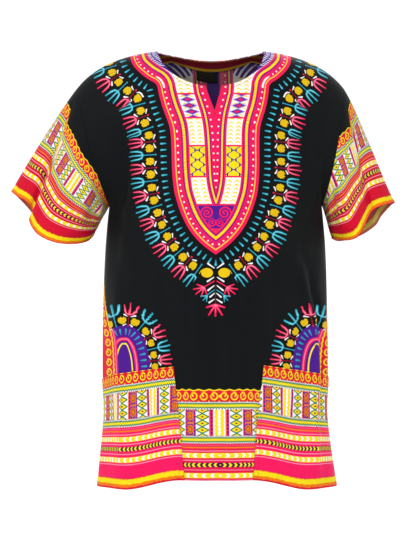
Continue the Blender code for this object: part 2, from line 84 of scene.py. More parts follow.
# Share round the armhole, how far across the cuff, depth and droop of each cuff point
RIGHT_CUFF = (
    (0.0, 0.081, 0.004, 0.0), (0.055, 0.066, -0.02, 0.003), (0.105, 0.044, -0.03, 0.005),
    (0.15, 0.031, -0.03, 0.014), (0.19, 0.024, -0.052, 0.03), (0.25, 0.0, -0.078, 0.045),
    (0.32, -0.033, -0.08, 0.045), (0.39, -0.062, -0.061, 0.034), (0.45, -0.08, -0.032, 0.019),
    (0.5, -0.083, 0.0, 0.003), (0.58, -0.07, 0.04, 0.014), (0.68, -0.028, 0.06, 0.032),
    (0.78, 0.018, 0.052, 0.03), (0.85, 0.044, 0.06, 0.016), (0.93, 0.072, 0.038, 0.004),
)
LEFT_CUFF = (
    (0.0, 0.064, 0.01, 0.0), (0.07, 0.049, -0.016, -0.004), (0.13, 0.029, -0.028, -0.008),
    (0.18, 0.017, -0.028, -0.006), (0.22, 0.003, -0.04, 0.0), (0.27, -0.013, -0.058, 0.011),
    (0.33, -0.031, -0.062, 0.019), (0.4, -0.049, -0.046, 0.014), (0.5, -0.064, 0.0, 0.0),
    (0.58, -0.052, 0.042, 0.012), (0.68, -0.018, 0.066, 0.022), (0.78, 0.018, 0.058, 0.02),
    (0.85, 0.038, 0.064, 0.01), (0.93, 0.058, 0.042, 0.002),
)
Sleeve = namedtuple("Sleeve", "side outer inner cuff")
SLEEVES = {
    RIGHT: Sleeve(RIGHT, outer=(-0.352, 0, -0.246), inner=(-0.209, 0, -0.316), cuff=RIGHT_CUFF),
    LEFT: Sleeve(LEFT, outer=(0.3235, 0, -0.264), inner=(0.2105, 0, -0.328), cuff=LEFT_CUFF),
}
SHOULDER_STRETCH, CUFF_STRETCH = 0.095, 0.11
# Tucks under each arm: share along, width, share round, reach and height
TUCKS = {
    RIGHT: (
        (0.3, 0.11, 0.4, 0.07, 0.006), (0.52, 0.1, 0.38, 0.08, -0.007), (0.72, 0.11, 0.41, 0.07, 0.0045),
        (0.45, 0.13, 0.62, 0.08, -0.006),
    ),
    LEFT: (
        (0.45, 0.13, 0.62, 0.08, -0.006), (0.4, 0.13, 0.36, 0.08, -0.0045),
    ),
}
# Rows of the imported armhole, and the column next to it on each face
ARMHOLE_ROWS = (0, 0.034, 0.136, 0.238, 0.34, 0.45, *(0.53 + 0.47 * i / 6 for i in range(7)))
ARMHOLE_NEXT = {FRONT: 0.95, BACK: 0.92}

NECK_COLUMN = 0.337
NECK_CORNER = math.radians(50)
SLIT_COLUMN = NECK_COLUMN * math.asin(SLIT_HALF / NECK_HALF) / NECK_CORNER
LABEL_COLUMNS = (-0.13, 0.035)
FACING_COLUMN = 0.43
SIDE_ROWS_END = 0.34
SIDE_ROWS_POWER = {FRONT: 2.4, BACK: 1.0}
FACING_STEP, LABEL_STEP, LABEL_GAP = 0.11, 0.08, 0.004
POCKET_V, HEM_V = 1.5, 2.0
NECKLINE_STEPS = 40


def ease(x):
    x = np.clip(x, 0.0, 1.0)
    return x * x * (3 - 2 * x)


def mix(a, b, share):
    return a + (b - a) * share


def unit(vectors):
    length = np.linalg.norm(vectors, axis=-1, keepdims=True)
    return vectors / np.maximum(length, 1e-12)


def cubic_through(knots, values, at):
    """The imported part's smooth curve through the values at the knots."""
    knots, values, at = np.asarray(knots, float), np.asarray(values, float), np.asarray(at, float)
    last = len(knots) - 1
    i = np.clip(np.searchsorted(knots, at, side="left") - 1, 0, last - 1)
    low, high = np.maximum(np.arange(last + 1) - 1, 0), np.minimum(np.arange(last + 1) + 1, last)
    slope = (values[high] - values[low]) / (knots[high] - knots[low])
    span = knots[i + 1] - knots[i]
    t = (at - knots[i]) / span
    return (
        values[i] * (2 * t**3 - 3 * t**2 + 1) + slope[i] * span * (t**3 - 2 * t**2 + t)
        + values[i + 1] * (3 * t**2 - 2 * t**3) + slope[i + 1] * span * (t**3 - t**2)
    )


def section_at(drop):
    drop = np.clip(drop, SECTIONS[0, 0], SECTIONS[-1, 0])
    return [cubic_through(SECTIONS[:, 0], SECTIONS[:, k], drop) for k in range(1, 5)]


def hem_drop(face, u):
    if face == BACK:
        return np.full_like(u, HEM_SIDE_DROP)
    corner = ease((abs(u) - HEM_CENTRE_END) / (HEM_CORNER_AT - HEM_CENTRE_END))
    side = ease((abs(u) - HEM_CORNER_AT) / (1 - HEM_CORNER_AT))
    low = mix(HEM_CENTRE_DROP, HEM_CORNER_DROP, corner)
    return low + (HEM_SIDE_DROP - HEM_CORNER_DROP) * side


def pocket_line(u):
    right, left = POCKETS[RIGHT], POCKETS[LEFT]
    knots = (-1, -right.inner_top, left.inner_top, 1)
    return np.interp(u, knots, (right.side_drop, right.inner_drop, left.inner_drop, left.side_drop))


def u_of_column(face, column, v):
    """Columns are straight lines in u, but the front's bend to follow the pockets' inner edges."""
    if face == BACK:
        return column
    made = column.copy()
    for side, pocket in POCKETS.items():
        rise = ease((v - 1) / (POCKET_V - 1))
        low = mix(pocket.inner_top, pocket.inner_hem, (v - POCKET_V) / (HEM_V - POCKET_V))
        inner = np.where(v < POCKET_V, mix(POCKET_COLUMN, pocket.inner_top, rise), low)
        away = column * side
        near = inner * away / POCKET_COLUMN
        far = inner + (1 - inner) * (away - POCKET_COLUMN) / (1 - POCKET_COLUMN)
        mine = (away >= 0) & (v > 1)
        made = np.where(mine, side * np.where(away <= POCKET_COLUMN, near, far), made)
    return made


def across(turn, u):
    return np.sin(u * turn) / np.sin(turn)


def inward(turn, u):
    return (1 - np.cos(u * turn)) / (1 - np.cos(turn))


def yoke_width(t):
    half_loop = (1 - np.cos(math.pi * t)) / 2
    narrowing = (1 - half_loop) * (1 + ARMHOLE_FULLNESS * half_loop)
    turn = np.radians(YOKE_TURN + (90 - YOKE_TURN) * t**3)
    return turn, SECTIONS[0, 1] + (SHOULDER_HALF - SECTIONS[0, 1]) * narrowing, half_loop


def yoke_point(face, u, t):
    """Above the underarm: t runs from the shoulder line (0) to the underarm (1)."""
    turn, edge_x, half_loop = yoke_width(t)
    fall = (1 - np.cos(math.pi / 2 * t)) ** YOKE_POWER[face]
    lean = mix(NECK_LEAN, SECTIONS[0, 4], ease(t))
    edge_y = ARMHOLE_DEPTH[face] * np.sin(math.pi * t)
    edge_z = -SHOULDER_DROP - (UNDERARM_DROP - SHOULDER_DROP) * half_loop
    centre_y = SECTIONS[0, 2 if face == FRONT else 3] * np.sin(math.pi / 2 * t)
    centre_z = PEAK_RISE - (UNDERARM_DROP + PEAK_RISE) * fall
    return np.stack((
        lean + edge_x * across(turn, u),
        face * (centre_y + (edge_y - centre_y) * inward(turn, abs(u))),
        centre_z + (edge_z - centre_z) * abs(u) ** SHOULDER_POWER,
    ), -1)


def skirt_point(face, u, v):
    """Below the underarm: v runs from it (1) over the pocket line to the hem (2)."""
    hem, line = hem_drop(face, u), pocket_line(u)
    upper = mix(UNDERARM_DROP, line, (v - 1) / (POCKET_V - 1))
    lower = mix(line, hem, (v - POCKET_V) / (HEM_V - POCKET_V))
    drop = np.where(v <= POCKET_V, upper, lower)
    half_width, front_depth, back_depth, lean = section_at(drop)
    depth = front_depth if face == FRONT else back_depth
    spread = VENT_SPREAD * ease((drop - VENT_DROP) / (HEM_SIDE_DROP - VENT_DROP))
    turn = math.pi / 2
    return np.stack((
        lean + half_width * across(turn, u),
        face * (depth + (spread - depth) * inward(turn, abs(u))),
        -drop,
    ), -1)


def bell(x):
    return np.exp(-(x * x))


def fold_height(face, u, drop):
    height = np.zeros_like(drop)
    for top, bottom, high, mid, low, width, size in FOLDS[face]:
        knots = (top, (top + bottom) / 2, bottom)
        centre = cubic_through(knots, (high, mid, low), np.clip(drop, top, bottom))
        fade = FOLD_FADE * (bottom - top)
        ends = ease((drop - top) / fade) * ease((bottom - drop) / fade)
        height += size * ends * bell((u - centre) / width)
    return height * ease((1 - abs(u)) / FOLD_SIDE_FADE)


def panel_point(face, u, v):
    v = np.asarray(v, float)
    yoke, skirt = yoke_point(face, u, np.minimum(v, 1)), skirt_point(face, u, np.maximum(v, 1))
    point = np.where((v <= 1)[..., None], yoke, skirt)
    half_width, front_depth, _, lean = section_at(-point[..., 2])
    out = layer((point[..., 0] - lean) / half_width**2, point[..., 1] / front_depth**2, 0)
    point = point + unit(out) * fold_height(face, u, -point[..., 2])[..., None]
    return point + np.array((0, face * GAP / 2, 0))


def neck_u(t, away):
    turn, edge_x, _ = yoke_width(t)
    return np.arcsin(away * np.sin(turn) / edge_x) / turn


def neckline_uv(face, angle):
    """Where the neckline passes at an angle, from its middle (0) to the shoulder seam (90 degrees)."""
    away = NECK_HALF * np.sin(angle)
    zero = np.zeros(1)
    shoulder_z = yoke_point(face, neck_u(zero, NECK_HALF), zero)[0, 2]
    slit = mix(SLIT_DROP, NECK_DROP, away / SLIT_HALF)
    scoop = NECK_DROP * np.sqrt(np.maximum(0.0, 1 - (away / NECK_HALF) ** 2))
    drop = np.where(away < SLIT_HALF, slit, scoop)
    low, high = np.zeros_like(angle), np.full_like(angle, 0.95)
    for _ in range(NECKLINE_STEPS):
        t = (low + high) / 2
        u = neck_u(t, away)
        point = yoke_point(face, u, t)
        if face == FRONT:
            inside = point[..., 2] > shoulder_z - drop
        else:
            inside = point[..., 1] < BACK_NECK_DEPTH * np.cos(angle)
        low, high = np.where(inside, t, low), np.where(inside, high, t)
    return u, t


def column_tops(face, column, share):
    """The u and t where a column (0 to 1) meets the row at a share of the way to the neck's corner."""
    beside = np.arccos(math.cos(NECK_CORNER) * np.asarray(share, float) ** SIDE_ROWS_POWER[face])
    angle = np.where(column < NECK_COLUMN, NECK_CORNER * column / NECK_COLUMN, beside)
    start_u, start_t = neckline_uv(face, angle)
    along = np.maximum(0, (column - NECK_COLUMN) / (1 - NECK_COLUMN))
    return start_u + (1 - start_u) * along, start_t + (SIDE_ROWS_END * share - start_t) * along


# ---- cloth coordinates and fine grids

MM = 1000.0
# A step along the cloth counts at least this share of its length in the print's own coordinates
LEAST_STEP = 0.45
CHART_COLUMNS, CHART_ROWS = 241, 401
# Rough lengths of a panel in metres: half across, neck side, chest, and above and below the pocket line
HALF_RUN, NECK_RUN, CHEST_RUN, WAIST_RUN, HIP_RUN = 0.265, 0.034, 0.235, 0.29, 0.19


def layer(*parts):
    """Coordinates for every point of a grid."""
    return np.stack(np.broadcast_arrays(*parts), -1)


def walked(points):
    """How far each point lies along a line."""
    return np.concatenate(((0,), np.cumsum(np.linalg.norm(np.diff(points, axis=0), axis=1))))


def travelled(points, axis, along):
    """How far each point lies along a grid axis, as it is seen from the front, in millimetres."""
    steps = np.diff(points, axis=axis)
    length = np.linalg.norm(steps, axis=-1)
    seen = np.maximum(abs(steps[..., along]), LEAST_STEP * length) * MM
    start = np.zeros_like(np.take(seen, [0], axis=axis))
    return np.concatenate((start, np.cumsum(seen, axis=axis)), axis=axis)


class Chart:
    """Dense tables of one face, looked up by u and v: print coordinates p and q, and length across a, in mm."""

    def __init__(self, face):
        self.last = (CHART_COLUMNS - 1, CHART_ROWS - 1)
        u, v = np.meshgrid(np.linspace(-1, 1, CHART_COLUMNS), np.linspace(0, 2, CHART_ROWS), indexing="ij")
        points = panel_point(face, u, v)
        p, q = travelled(points, 0, 0), travelled(points, 1, 2) - points[:, :1, 2] * MM
        walk = np.linalg.norm(np.diff(points, axis=0), axis=-1) * MM
        a = np.concatenate((np.zeros((1, CHART_ROWS)), np.cumsum(walk, 0)), 0)
        middle = CHART_COLUMNS // 2
        self.tables = {"p": p - p[middle], "q": q, "a": a - a[middle]}

    def at(self, names, u, v):
        x, y = (np.clip(u, -1, 1) + 1) / 2 * self.last[0], np.clip(v, 0, 2) / 2 * self.last[1]
        i, j = (np.clip(z.astype(int), 0, last - 1) for z, last in zip((x, y), self.last))
        x, y = x - i, y - j
        made = []
        for name in names:
            table = self.tables[name]
            low = table[i, j] * (1 - x) + table[i + 1, j] * x
            made.append(low * (1 - y) + (table[i, j + 1] * (1 - x) + table[i + 1, j + 1] * x) * y)
        return made


CHARTS = {face: Chart(face) for face in (FRONT, BACK)}


def steps_between(knots, step):
    """Values from the first knot to the last that take in every knot, about a step apart."""
    made = [np.array((knots[0],), float)]
    for a, b in zip(knots, knots[1:]):
        made.append(np.linspace(a, b, max(2, int(round((b - a) / step)) + 1))[1:])
    return np.concatenate(made)


def panel_uv(face, step):
    """The fine grid of a panel: u and v from the wearer's right to left, and from the neck down."""
    half = steps_between((0, SLIT_COLUMN, POCKET_COLUMN, NECK_COLUMN, 1), step / HALF_RUN)
    shares = steps_between((0, 1), step / NECK_RUN)[:-1]
    downs = steps_between((0, 1), step / CHEST_RUN)
    waist = steps_between((1, POCKET_V), step / WAIST_RUN * (POCKET_V - 1))[1:]
    hip = steps_between((POCKET_V, HEM_V), step / HIP_RUN * (HEM_V - POCKET_V))[1:]
    column, share = np.meshgrid(half, shares, indexing="ij")
    side_u, side_t = column_tops(face, column, share)
    side_u[column < NECK_COLUMN - 1e-9] = np.nan
    top_u, top_t = column_tops(face, half, np.ones_like(half))
    t = mix(top_t[:, None], 1, downs[None, :])
    chest_u = top_u[:, None] + (half - top_u)[:, None] * downs[None, :]
    column, v = np.meshgrid(half, np.concatenate((waist, hip)), indexing="ij")
    u = np.concatenate((side_u, chest_u, column), 1)
    v = np.concatenate((side_t, t, v), 1)
    column = np.repeat(half[:, None], u.shape[1], 1)
    u, v, column = (np.concatenate((x[:0:-1] * s, x)) for x, s in ((u, -1), (v, 1), (column, -1)))
    below = v > 1
    return np.where(below, u_of_column(face, column, v), u), v, column


def surface(face, u, v):
    """Points and outward normals of a panel, lifted by its small creases."""
    small = 1e-3

    def point(u, v):
        made = panel_point(face, u, v)
        return made + unit(made * (1, 1, 0)) * crease_height(face, u, v)[..., None]

    u, v = np.nan_to_num(u), np.clip(v, 0, 2)
    ahead, behind = np.minimum(u + small, 1), np.maximum(u - small, -1)
    below, above = np.minimum(v + small, 2), np.maximum(v - small, 0)
    east, down = point(ahead, v) - point(behind, v), point(u, below) - point(u, above)
    return point(u, v), unit(np.cross(down, east) * -face)


# ---- the print's curves, in millimetres

# The medallion's outer edge and the edge of its middle strip: half width against distance down the front
MEDALLION = (
    (142, -60), (142, 10), (138.3, 33), (133.7, 44), (122, 57.6), (110, 68.5), (95.7, 76.5), (93.7, 93.5),
    (87.4, 120.5), (79.3, 143), (75.3, 158), (74.2, 188), (74, 225), (71, 260), (66.7, 278),
    (55.5, 310), (41.2, 334), (23.2, 353.5), (0, 370),
)
STRIP = (
    (29.7, -60), (29.7, 84.6), (21.9, 111), (15.3, 134), (11.7, 163), (10.4, 219), (9.3, 245), (5.3, 266),
    (0, 283),
)
# The rings of dashes and of flowers lie this far outside the medallion
DASH_RING, STEM_RING = 13.5, 38.0
ARCH_X, ARCH_Q, ARCH_END = 156, 582, 660
ARCH_HALF, ARCH_RISE, ARCH_POWER = 45, 94, 0.8
SIDE_SCROLL = ((215, 380), (198, 424), (190, 457), (181, 493), (172.7, 518), (172.6, 640))


def finely(points, step=2.0):
    """A polyline through the points, rounded a little and cut into even steps."""
    points = np.array(points, float)
    for _ in range(2):
        low, high = points[:-1] * 0.75 + points[1:] * 0.25, points[:-1] * 0.25 + points[1:] * 0.75
        inner = np.stack((low, high), 1).reshape(-1, 2)
        points = np.concatenate((points[:1], inner, points[-1:]))
    walk = walked(points)
    at = np.linspace(0, walk[-1], int(walk[-1] / step) + 1)
    return np.stack([np.interp(at, walk, points[:, k]) for k in (0, 1)], 1)


def beside(points, line):
    """Signed distance from a polyline (above 0 on its left) and the length walked along it, from its end."""
    flat = points.reshape(-1, 2)
    best, side, walk = np.full(len(flat), 1e9), np.ones(len(flat)), np.zeros(len(flat))
    lengths = np.linalg.norm(np.diff(line, axis=0), axis=1)
    to_end = np.concatenate((np.cumsum(lengths[::-1])[::-1], (0,)))
    for k, (a, b) in enumerate(zip(line, line[1:])):
        along = b - a
        share = np.clip((flat - a) @ along / (along @ along), 0, 1)
        away = flat - a - share[:, None] * along
        distance = np.hypot(away[:, 0], away[:, 1])
        nearer = distance < best
        cross = along[0] * away[:, 1] - along[1] * away[:, 0]
        best, side = np.where(nearer, distance, best), np.where(nearer, np.where(cross < 0, 1, -1), side)
        walk = np.where(nearer, to_end[k] - share * lengths[k], walk)
    return (best * side).reshape(points.shape[:-1]), walk.reshape(points.shape[:-1])


def offset_line(line, distance):
    """The line moved outwards, with a round corner at its mirrored end."""
    along = unit(np.gradient(line, axis=0))
    out = np.stack((-along[:, 1], along[:, 0]), 1)
    out = np.where(out[:, :1] < 0, -out, out) if line[0, 0] > line[-1, 0] else out
    moved = line + out * distance
    end = math.atan2(out[-1, 1], out[-1, 0])
    turn = np.linspace(end, math.pi / 2, 12)[1:]
    corner = line[-1] + distance * np.stack((np.cos(turn), np.sin(turn)), 1)
    moved = np.concatenate((moved, corner))
    near, _ = beside(moved, line)
    return moved[abs(near) > distance - 0.6]


def arch_point(turn):
    across = math.cos(turn)
    away = ARCH_HALF * math.copysign(abs(across) ** ARCH_POWER, across)
    return ARCH_X + away, ARCH_Q - ARCH_RISE * math.sin(turn) ** ARCH_POWER


EDGE_LINE, STRIP_LINE, SCROLL_LINE = finely(MEDALLION), finely(STRIP), finely(SIDE_SCROLL)
DASH_LINE, STEM_LINE = offset_line(EDGE_LINE, DASH_RING), offset_line(EDGE_LINE, STEM_RING)
ARCH_FEET = [(ARCH_X + side * ARCH_HALF, ARCH_END) for side in (-1, 1)]
ARCH_TURNS = np.linspace(math.pi, 0, 60)
ARCH_LINE = np.array([ARCH_FEET[0], *(arch_point(turn) for turn in ARCH_TURNS), ARCH_FEET[1]])


# ---- colours and the print's nodes


def colour(red, green, blue):
    """A linear colour from the usual 0 to 255 values."""
    parts = (x / 255 for x in (red, green, blue))
    return (*(((x + 0.055) / 1.055) ** 2.4 if x > 0.0393 else x / 12.92 for x in parts), 1.0)


BLACK, PURPLE, WHITE = colour(5, 9, 11), colour(74, 20, 138), colour(240, 238, 240)
PINK, RED_PINK, PALE_PINK = colour(236, 22, 84), colour(216, 12, 48), colour(240, 134, 166)
CRIMSON, TEAL, PALE_TEAL = colour(140, 12, 40), colour(30, 158, 182), colour(120, 212, 222)
YELLOW, GOLD, ORANGE = colour(238, 214, 16), colour(228, 190, 10), colour(232, 118, 12)
BROWN, GREEN, LAVENDER = colour(150, 96, 8), colour(24, 124, 84), colour(152, 128, 214)
PLUM = colour(58, 14, 66)
BODY_PINK, POCKET_PINK, SLEEVE_PINK = colour(222, 14, 70), colour(240, 18, 92), colour(206, 6, 44)
# The facing's red is painted shade: the border's pink darkened as it lies inside the back neck
THREAD_RED, SHADED_FACING_RED, LABEL_GREY = colour(150, 14, 40), colour(120, 10, 36), colour(30, 30, 24)
# The width in mm over which one colour turns into the next
SOFT_EDGE = 0.3
# Noise scale, depth and lowest value of the uneven dye, and the weave's pitch and depth in metres
DYE_SCALE, DYE_DEPTH, DYE_VALUE = 38.0, 0.18, 0.71
WEAVE_PITCH, WEAVE_DEPTH, SLUB_SCALE = 0.0009, 0.0002, 420.0
COTTON = {"Roughness": 0.66, "Specular IOR Level": 0.09, "Sheen Weight": 0.015, "Sheen Roughness": 0.5}


def set_inputs(tree, node, entries):
    """Links or sets a node's inputs, given by name or number, and returns its first output."""
    for key, value in entries.items():
        value = getattr(value, "socket", value)
        if isinstance(value, bpy.types.NodeSocket):
            tree.links.new(value, node.inputs[key])
        else:
            node.inputs[key].default_value = value
    return node.outputs[0]


class Num:
    """A number that a material's nodes work out."""

    def __init__(self, tree, socket):
        self.tree, self.socket = tree, socket

    def math(self, operation, *others, clamp=False):
        node = self.tree.nodes.new("ShaderNodeMath")
        node.operation, node.use_clamp = operation, clamp
        return Num(self.tree, set_inputs(self.tree, node, dict(enumerate((self, *others)))))

    def __add__(self, other):
        return self.math("ADD", other)

    def __sub__(self, other):
        return self.math("SUBTRACT", other)

    def __mul__(self, other):
        return self.math("MULTIPLY", other)

    def __neg__(self):
        return self.math("MULTIPLY", -1.0)

    def __abs__(self):
        return self.math("ABSOLUTE")

    def plus(self, factor, other):
        """This number times a factor, plus another."""
        return self.math("MULTIPLY_ADD", factor, other)

    def above(self, limit):
        """Below 0 where this number is above the limit."""
        return self.plus(-1.0, limit)

    def low(self, other):
        return self.math("MINIMUM", other)

    def high(self, other):
        return self.math("MAXIMUM", other)

    def wrap(self, period, shift=0.0):
        """Runs from minus to plus half the period again and again, and is 0 at the shift."""
        moved = self - shift if shift else self
        return moved.math("WRAP", period / 2, -period / 2)

    def odd(self, period, shift=0.0):
        """1 in every second period round the shift, and 0 in the others."""
        return self.plus(1 / period, 0.5 - shift / period).math("FLOOR").math("FLOORED_MODULO", 2.0)

    def zigzag(self, period, height):
        """A wave of straight lines from minus to plus half the height."""
        return self.math("PINGPONG", period / 2).plus(2 * height / period, -height / 2)

    def sine(self, period, height):
        return self.math("MULTIPLY", 2 * math.pi / period).math("SINE") * height


def length(x, y):
    return (x * x + y * y).math("SQRT")


def dot(x, y, radius):
    return length(x, y) - radius


def oval(x, y, half_width, half_height):
    """Roughly the distance from an oval, in the unit of its half width."""
    return length(x, y * (half_width / half_height)) - half_width


def stroke(x, y, start, end, radius, swell=0.0):
    """Distance from a stroke of the brush between two points, which may swell towards its end."""
    run = (end[0] - start[0], end[1] - start[1])
    size = run[0] ** 2 + run[1] ** 2
    from_x, from_y = x - start[0], y - start[1]
    share = from_y.math("MULTIPLY_ADD", run[1] / size, from_x * (run[0] / size), clamp=True)
    made = length(share.plus(-run[0], from_x), share.plus(-run[1], from_y)) - radius
    return share.plus(-swell, made) if swell else made


def spiral(x, y, pitch, thickness):
    """Distance from the line of a spiral."""
    turned = y.math("ARCTAN2", x) * (pitch / (2 * math.pi))
    return abs((length(x, y) - turned).wrap(pitch)) - thickness


class Painter:
    """Paints a material's colour layer over layer. Every shape is a distance in mm, below 0 inside it."""

    def __init__(self, name, ground):
        self.material = bpy.data.materials.new(name)
        self.material.use_nodes = True
        self.tree = self.material.node_tree
        self.colour, self.field = ground, None

    def node(self, kind, entries):
        return set_inputs(self.tree, self.tree.nodes.new("ShaderNode" + kind), entries)

    def vector(self, name):
        node = self.tree.nodes.new("ShaderNodeAttribute")
        node.attribute_name = name
        return node.outputs["Vector"]

    def attribute(self, name):
        """The three coordinates of an attribute."""
        node = self.tree.nodes.new("ShaderNodeSeparateXYZ")
        set_inputs(self.tree, node, {0: self.vector(name)})
        return [Num(self.tree, part) for part in node.outputs]

    def mixed(self, under, over, share):
        node = self.tree.nodes.new("ShaderNodeMix")
        node.data_type = "RGBA"
        set_inputs(self.tree, node, {0: share, 6: under, 7: over})
        return node.outputs[2]

    def mask(self, distance):
        return distance.math("MULTIPLY_ADD", -1 / SOFT_EDGE, 0.5, clamp=True)

    def flood(self, over, share, *masks):
        for other in masks + ((self.field,) if self.field else ()):
            share = share * other
        self.colour = self.mixed(self.colour, over, share)

    def fill(self, over, distance, *masks):
        self.flood(over, self.mask(distance), *masks)

    def band(self, over, x, low, high, *masks):
        self.fill(over, abs(x - (low + high) / 2) - (high - low) / 2, *masks)

    def bands(self, x, rows):
        for over, low, high in rows:
            self.band(over, x, low, high)

    def noise(self, vector, scale, detail=2.0):
        return Num(self.tree, self.node("TexNoise", {"Vector": vector, "Scale": scale, "Detail": detail}))

    def finish(self, turned=None):
        """Cotton: a dull sheen, a fine weave, uneven dye, and on the turned side a duller print, darkened as
        painted shade inside the shirt.
        """
        cloth = self.vector("weave")
        dye = self.noise(cloth, DYE_SCALE).plus(DYE_DEPTH, DYE_VALUE)
        made = self.node("HueSaturation", {"Value": dye, "Color": self.colour})
        if turned:
            # The turned side's print is duller and darker: the darkening is painted shade inside the shirt
            duller_and_shaded = self.node("HueSaturation", {"Saturation": 0.86, "Value": 0.62, "Color": made})
            made = self.mixed(made, duller_and_shaded, turned)
        warp, weft, _ = self.attribute("weave")
        threads = warp.sine(WEAVE_PITCH, 0.5) * weft.sine(WEAVE_PITCH, 0.5)
        height = self.noise(cloth, SLUB_SCALE).plus(1.2, threads)
        bump = self.node("Bump", {"Strength": 0.35, "Distance": WEAVE_DEPTH, "Height": height})
        shader = self.tree.nodes["Principled BSDF"]
        set_inputs(self.tree, shader, {"Base Color": made, "Normal": bump, **COTTON})
        return self.material


def plain_material(name, tint, roughness):
    made = bpy.data.materials.new(name)
    made.use_nodes = True
    shader = made.node_tree.nodes["Principled BSDF"]
    set_inputs(made.node_tree, shader, {"Base Color": tint, "Roughness": roughness})
    return made


# ---- the print

# The pitch of the ring's motifs, where one stands and where they stop, in mm from the end of its line
RING_PITCH, RING_START, RING_END = 22.3, 55.15, 27.0
DASH_PITCH = 10.7
# Widths of the borders along the medallion's edge and along its middle strip
MEDAL_BORDER, STRIP_BORDER = 30.5, 7.2
PANEL_PERIOD, PANEL_MIDDLE, CURL_PITCH = 103.7, 55.8, 17.3


def paint_ring(painter, d, s, specks):
    """Blobs, leaves, stems and three-pronged flowers round a contour: d outwards from it, s along it."""
    fill, mixed = painter.fill, painter.mixed
    painter.field = painter.mask(s.above(RING_END))
    x = s.wrap(RING_PITCH, RING_START)
    teal = s.odd(RING_PITCH, RING_START)
    side = abs(x)
    blob_x = side - RING_PITCH / 2
    notch = dot(blob_x, d - 6.6, 2.0)
    lumps = s.sine(4.1, 0.35) + d.sine(4.7, 0.35)
    blob = oval(blob_x, d + 0.5, 6.4, 7.6) + lumps
    fill(mixed(GOLD, BROWN, specks), blob.high(-notch))
    leaves = ((4.0, -8.0), (11.4, -11.0), 0.65, 0.75), ((3.2, 7.2), (8.2, 10.9), 0.7, 0.7)
    for start, end, radius, swell in leaves:
        fill(WHITE, stroke(side, d, start, end, radius, swell), teal.above(1.0))
    fill(mixed(CRIMSON, TEAL, teal), stroke(x, d, (0, -10.6), (0, 10), 0.75))
    bright = mixed(PINK, TEAL, teal)
    fill(bright, dot(x, d + 10.6, 1.5))
    flower = reduce(Num.low, (
        stroke(side, d, (0, 10.5), (5.0, 12.9), 1.5), stroke(side, d, (5.0, 12.9), (6.9, 18.5), 1.6),
        stroke(side, d, (6.9, 18.5), (7.9, 30.5), 1.6, -0.7), stroke(x, d, (0, 12.0), (0, 33.5), 1.5, -0.6),
    ))
    fill(bright, flower)
    fill(mixed(PALE_PINK, PALE_TEAL, teal), flower + 0.95)
    painter.field = None


def paint_tip(painter, x, y):
    """The small tree of leaves and palmettes below the medallion's point. y runs down from the point."""
    fill = painter.fill
    fill(GOLD, oval(x - 14.5, y - 30.5, 10.0, 8.0))
    for over, start, end, radius, swell in (
        (WHITE, (2.5, 22.5), (13, 15), 0.7, 0.7), (WHITE, (3, 38), (13.5, 45), 0.7, 0.7),
        (WHITE, (2.5, 52), (12.5, 60), 0.7, 0.7), (WHITE, (2, 65), (9, 71), 0.7, 0.7),
        (WHITE, (2, 75), (10.5, 80.5), 0.7, 0.7), (CRIMSON, (0, 50), (0, 84), 0.5, 0),
        (PINK, (2.4, 44.5), (17, 53), 0.9, 0), (TEAL, (2.4, 59.5), (13, 67), 0.8, 0),
    ):
        fill(over, stroke(x, y, start, end, radius, swell))
    for over, light, base, tips, radius in (
        (PINK, PALE_PINK, (19, 55), ((15, 66), (24, 70), (33, 66), (37, 58), (31, 50)), 1.7),
        (TEAL, PALE_TEAL, (14, 69), ((15, 79), (21, 77), (25, 70)), 1.4),
        (PINK, PALE_PINK, (0, 84), ((15, 88.5), (11, 101), (0, 103)), 2.1),
    ):
        leaf = reduce(Num.low, (stroke(x, y, base, tip, radius, -0.7) for tip in tips))
        fill(over, leaf)
        fill(light, leaf + (radius - 0.55))


def paint_blocks(painter, block, column, q):
    """The blocks between the medallion's border and its middle strip."""
    fill, flood = painter.fill, painter.flood
    inside = painter.mask(block)
    flood(WHITE, inside)
    wide = column - 6.4
    smile = abs((wide * wide).plus(-0.17, q.wrap(6.6, 2.0)) + 1.0) - 1.35
    fill(YELLOW, smile.high(abs(wide) - 4.2), inside)
    ikat = painter.mask(abs(q - 117.2) - 21.0) * inside
    diamond = column.plus(0.42, abs(q.wrap(10.6, 106.5)))
    for over, size in ((LAVENDER, 5.6), (PURPLE, 4.1), (PINK, 2.3)):
        fill(over, diamond - size, ikat)
    maze = painter.mask(abs(q - 212.3) - 26.0) * inside
    flood(YELLOW, maze)
    fill(PURPLE, abs(column - q.sine(16.5, 5.2).high(-3.2).low(3.2) - 6.8) - 1.25, maze)
    for shift, bar in ((4.1, column.above(9.4)), (12.4, column - 4.0)):
        fill(PURPLE, (abs(q.wrap(16.5, shift)) - 1.0).high(bar), maze)
    fill(PINK, q.above(286.4), inside)
    for edge in (96.2, 138.3, 186.2, 238.6, 286.0):
        painter.band(PINK, q, edge - 1.4, edge + 1.4, inside)


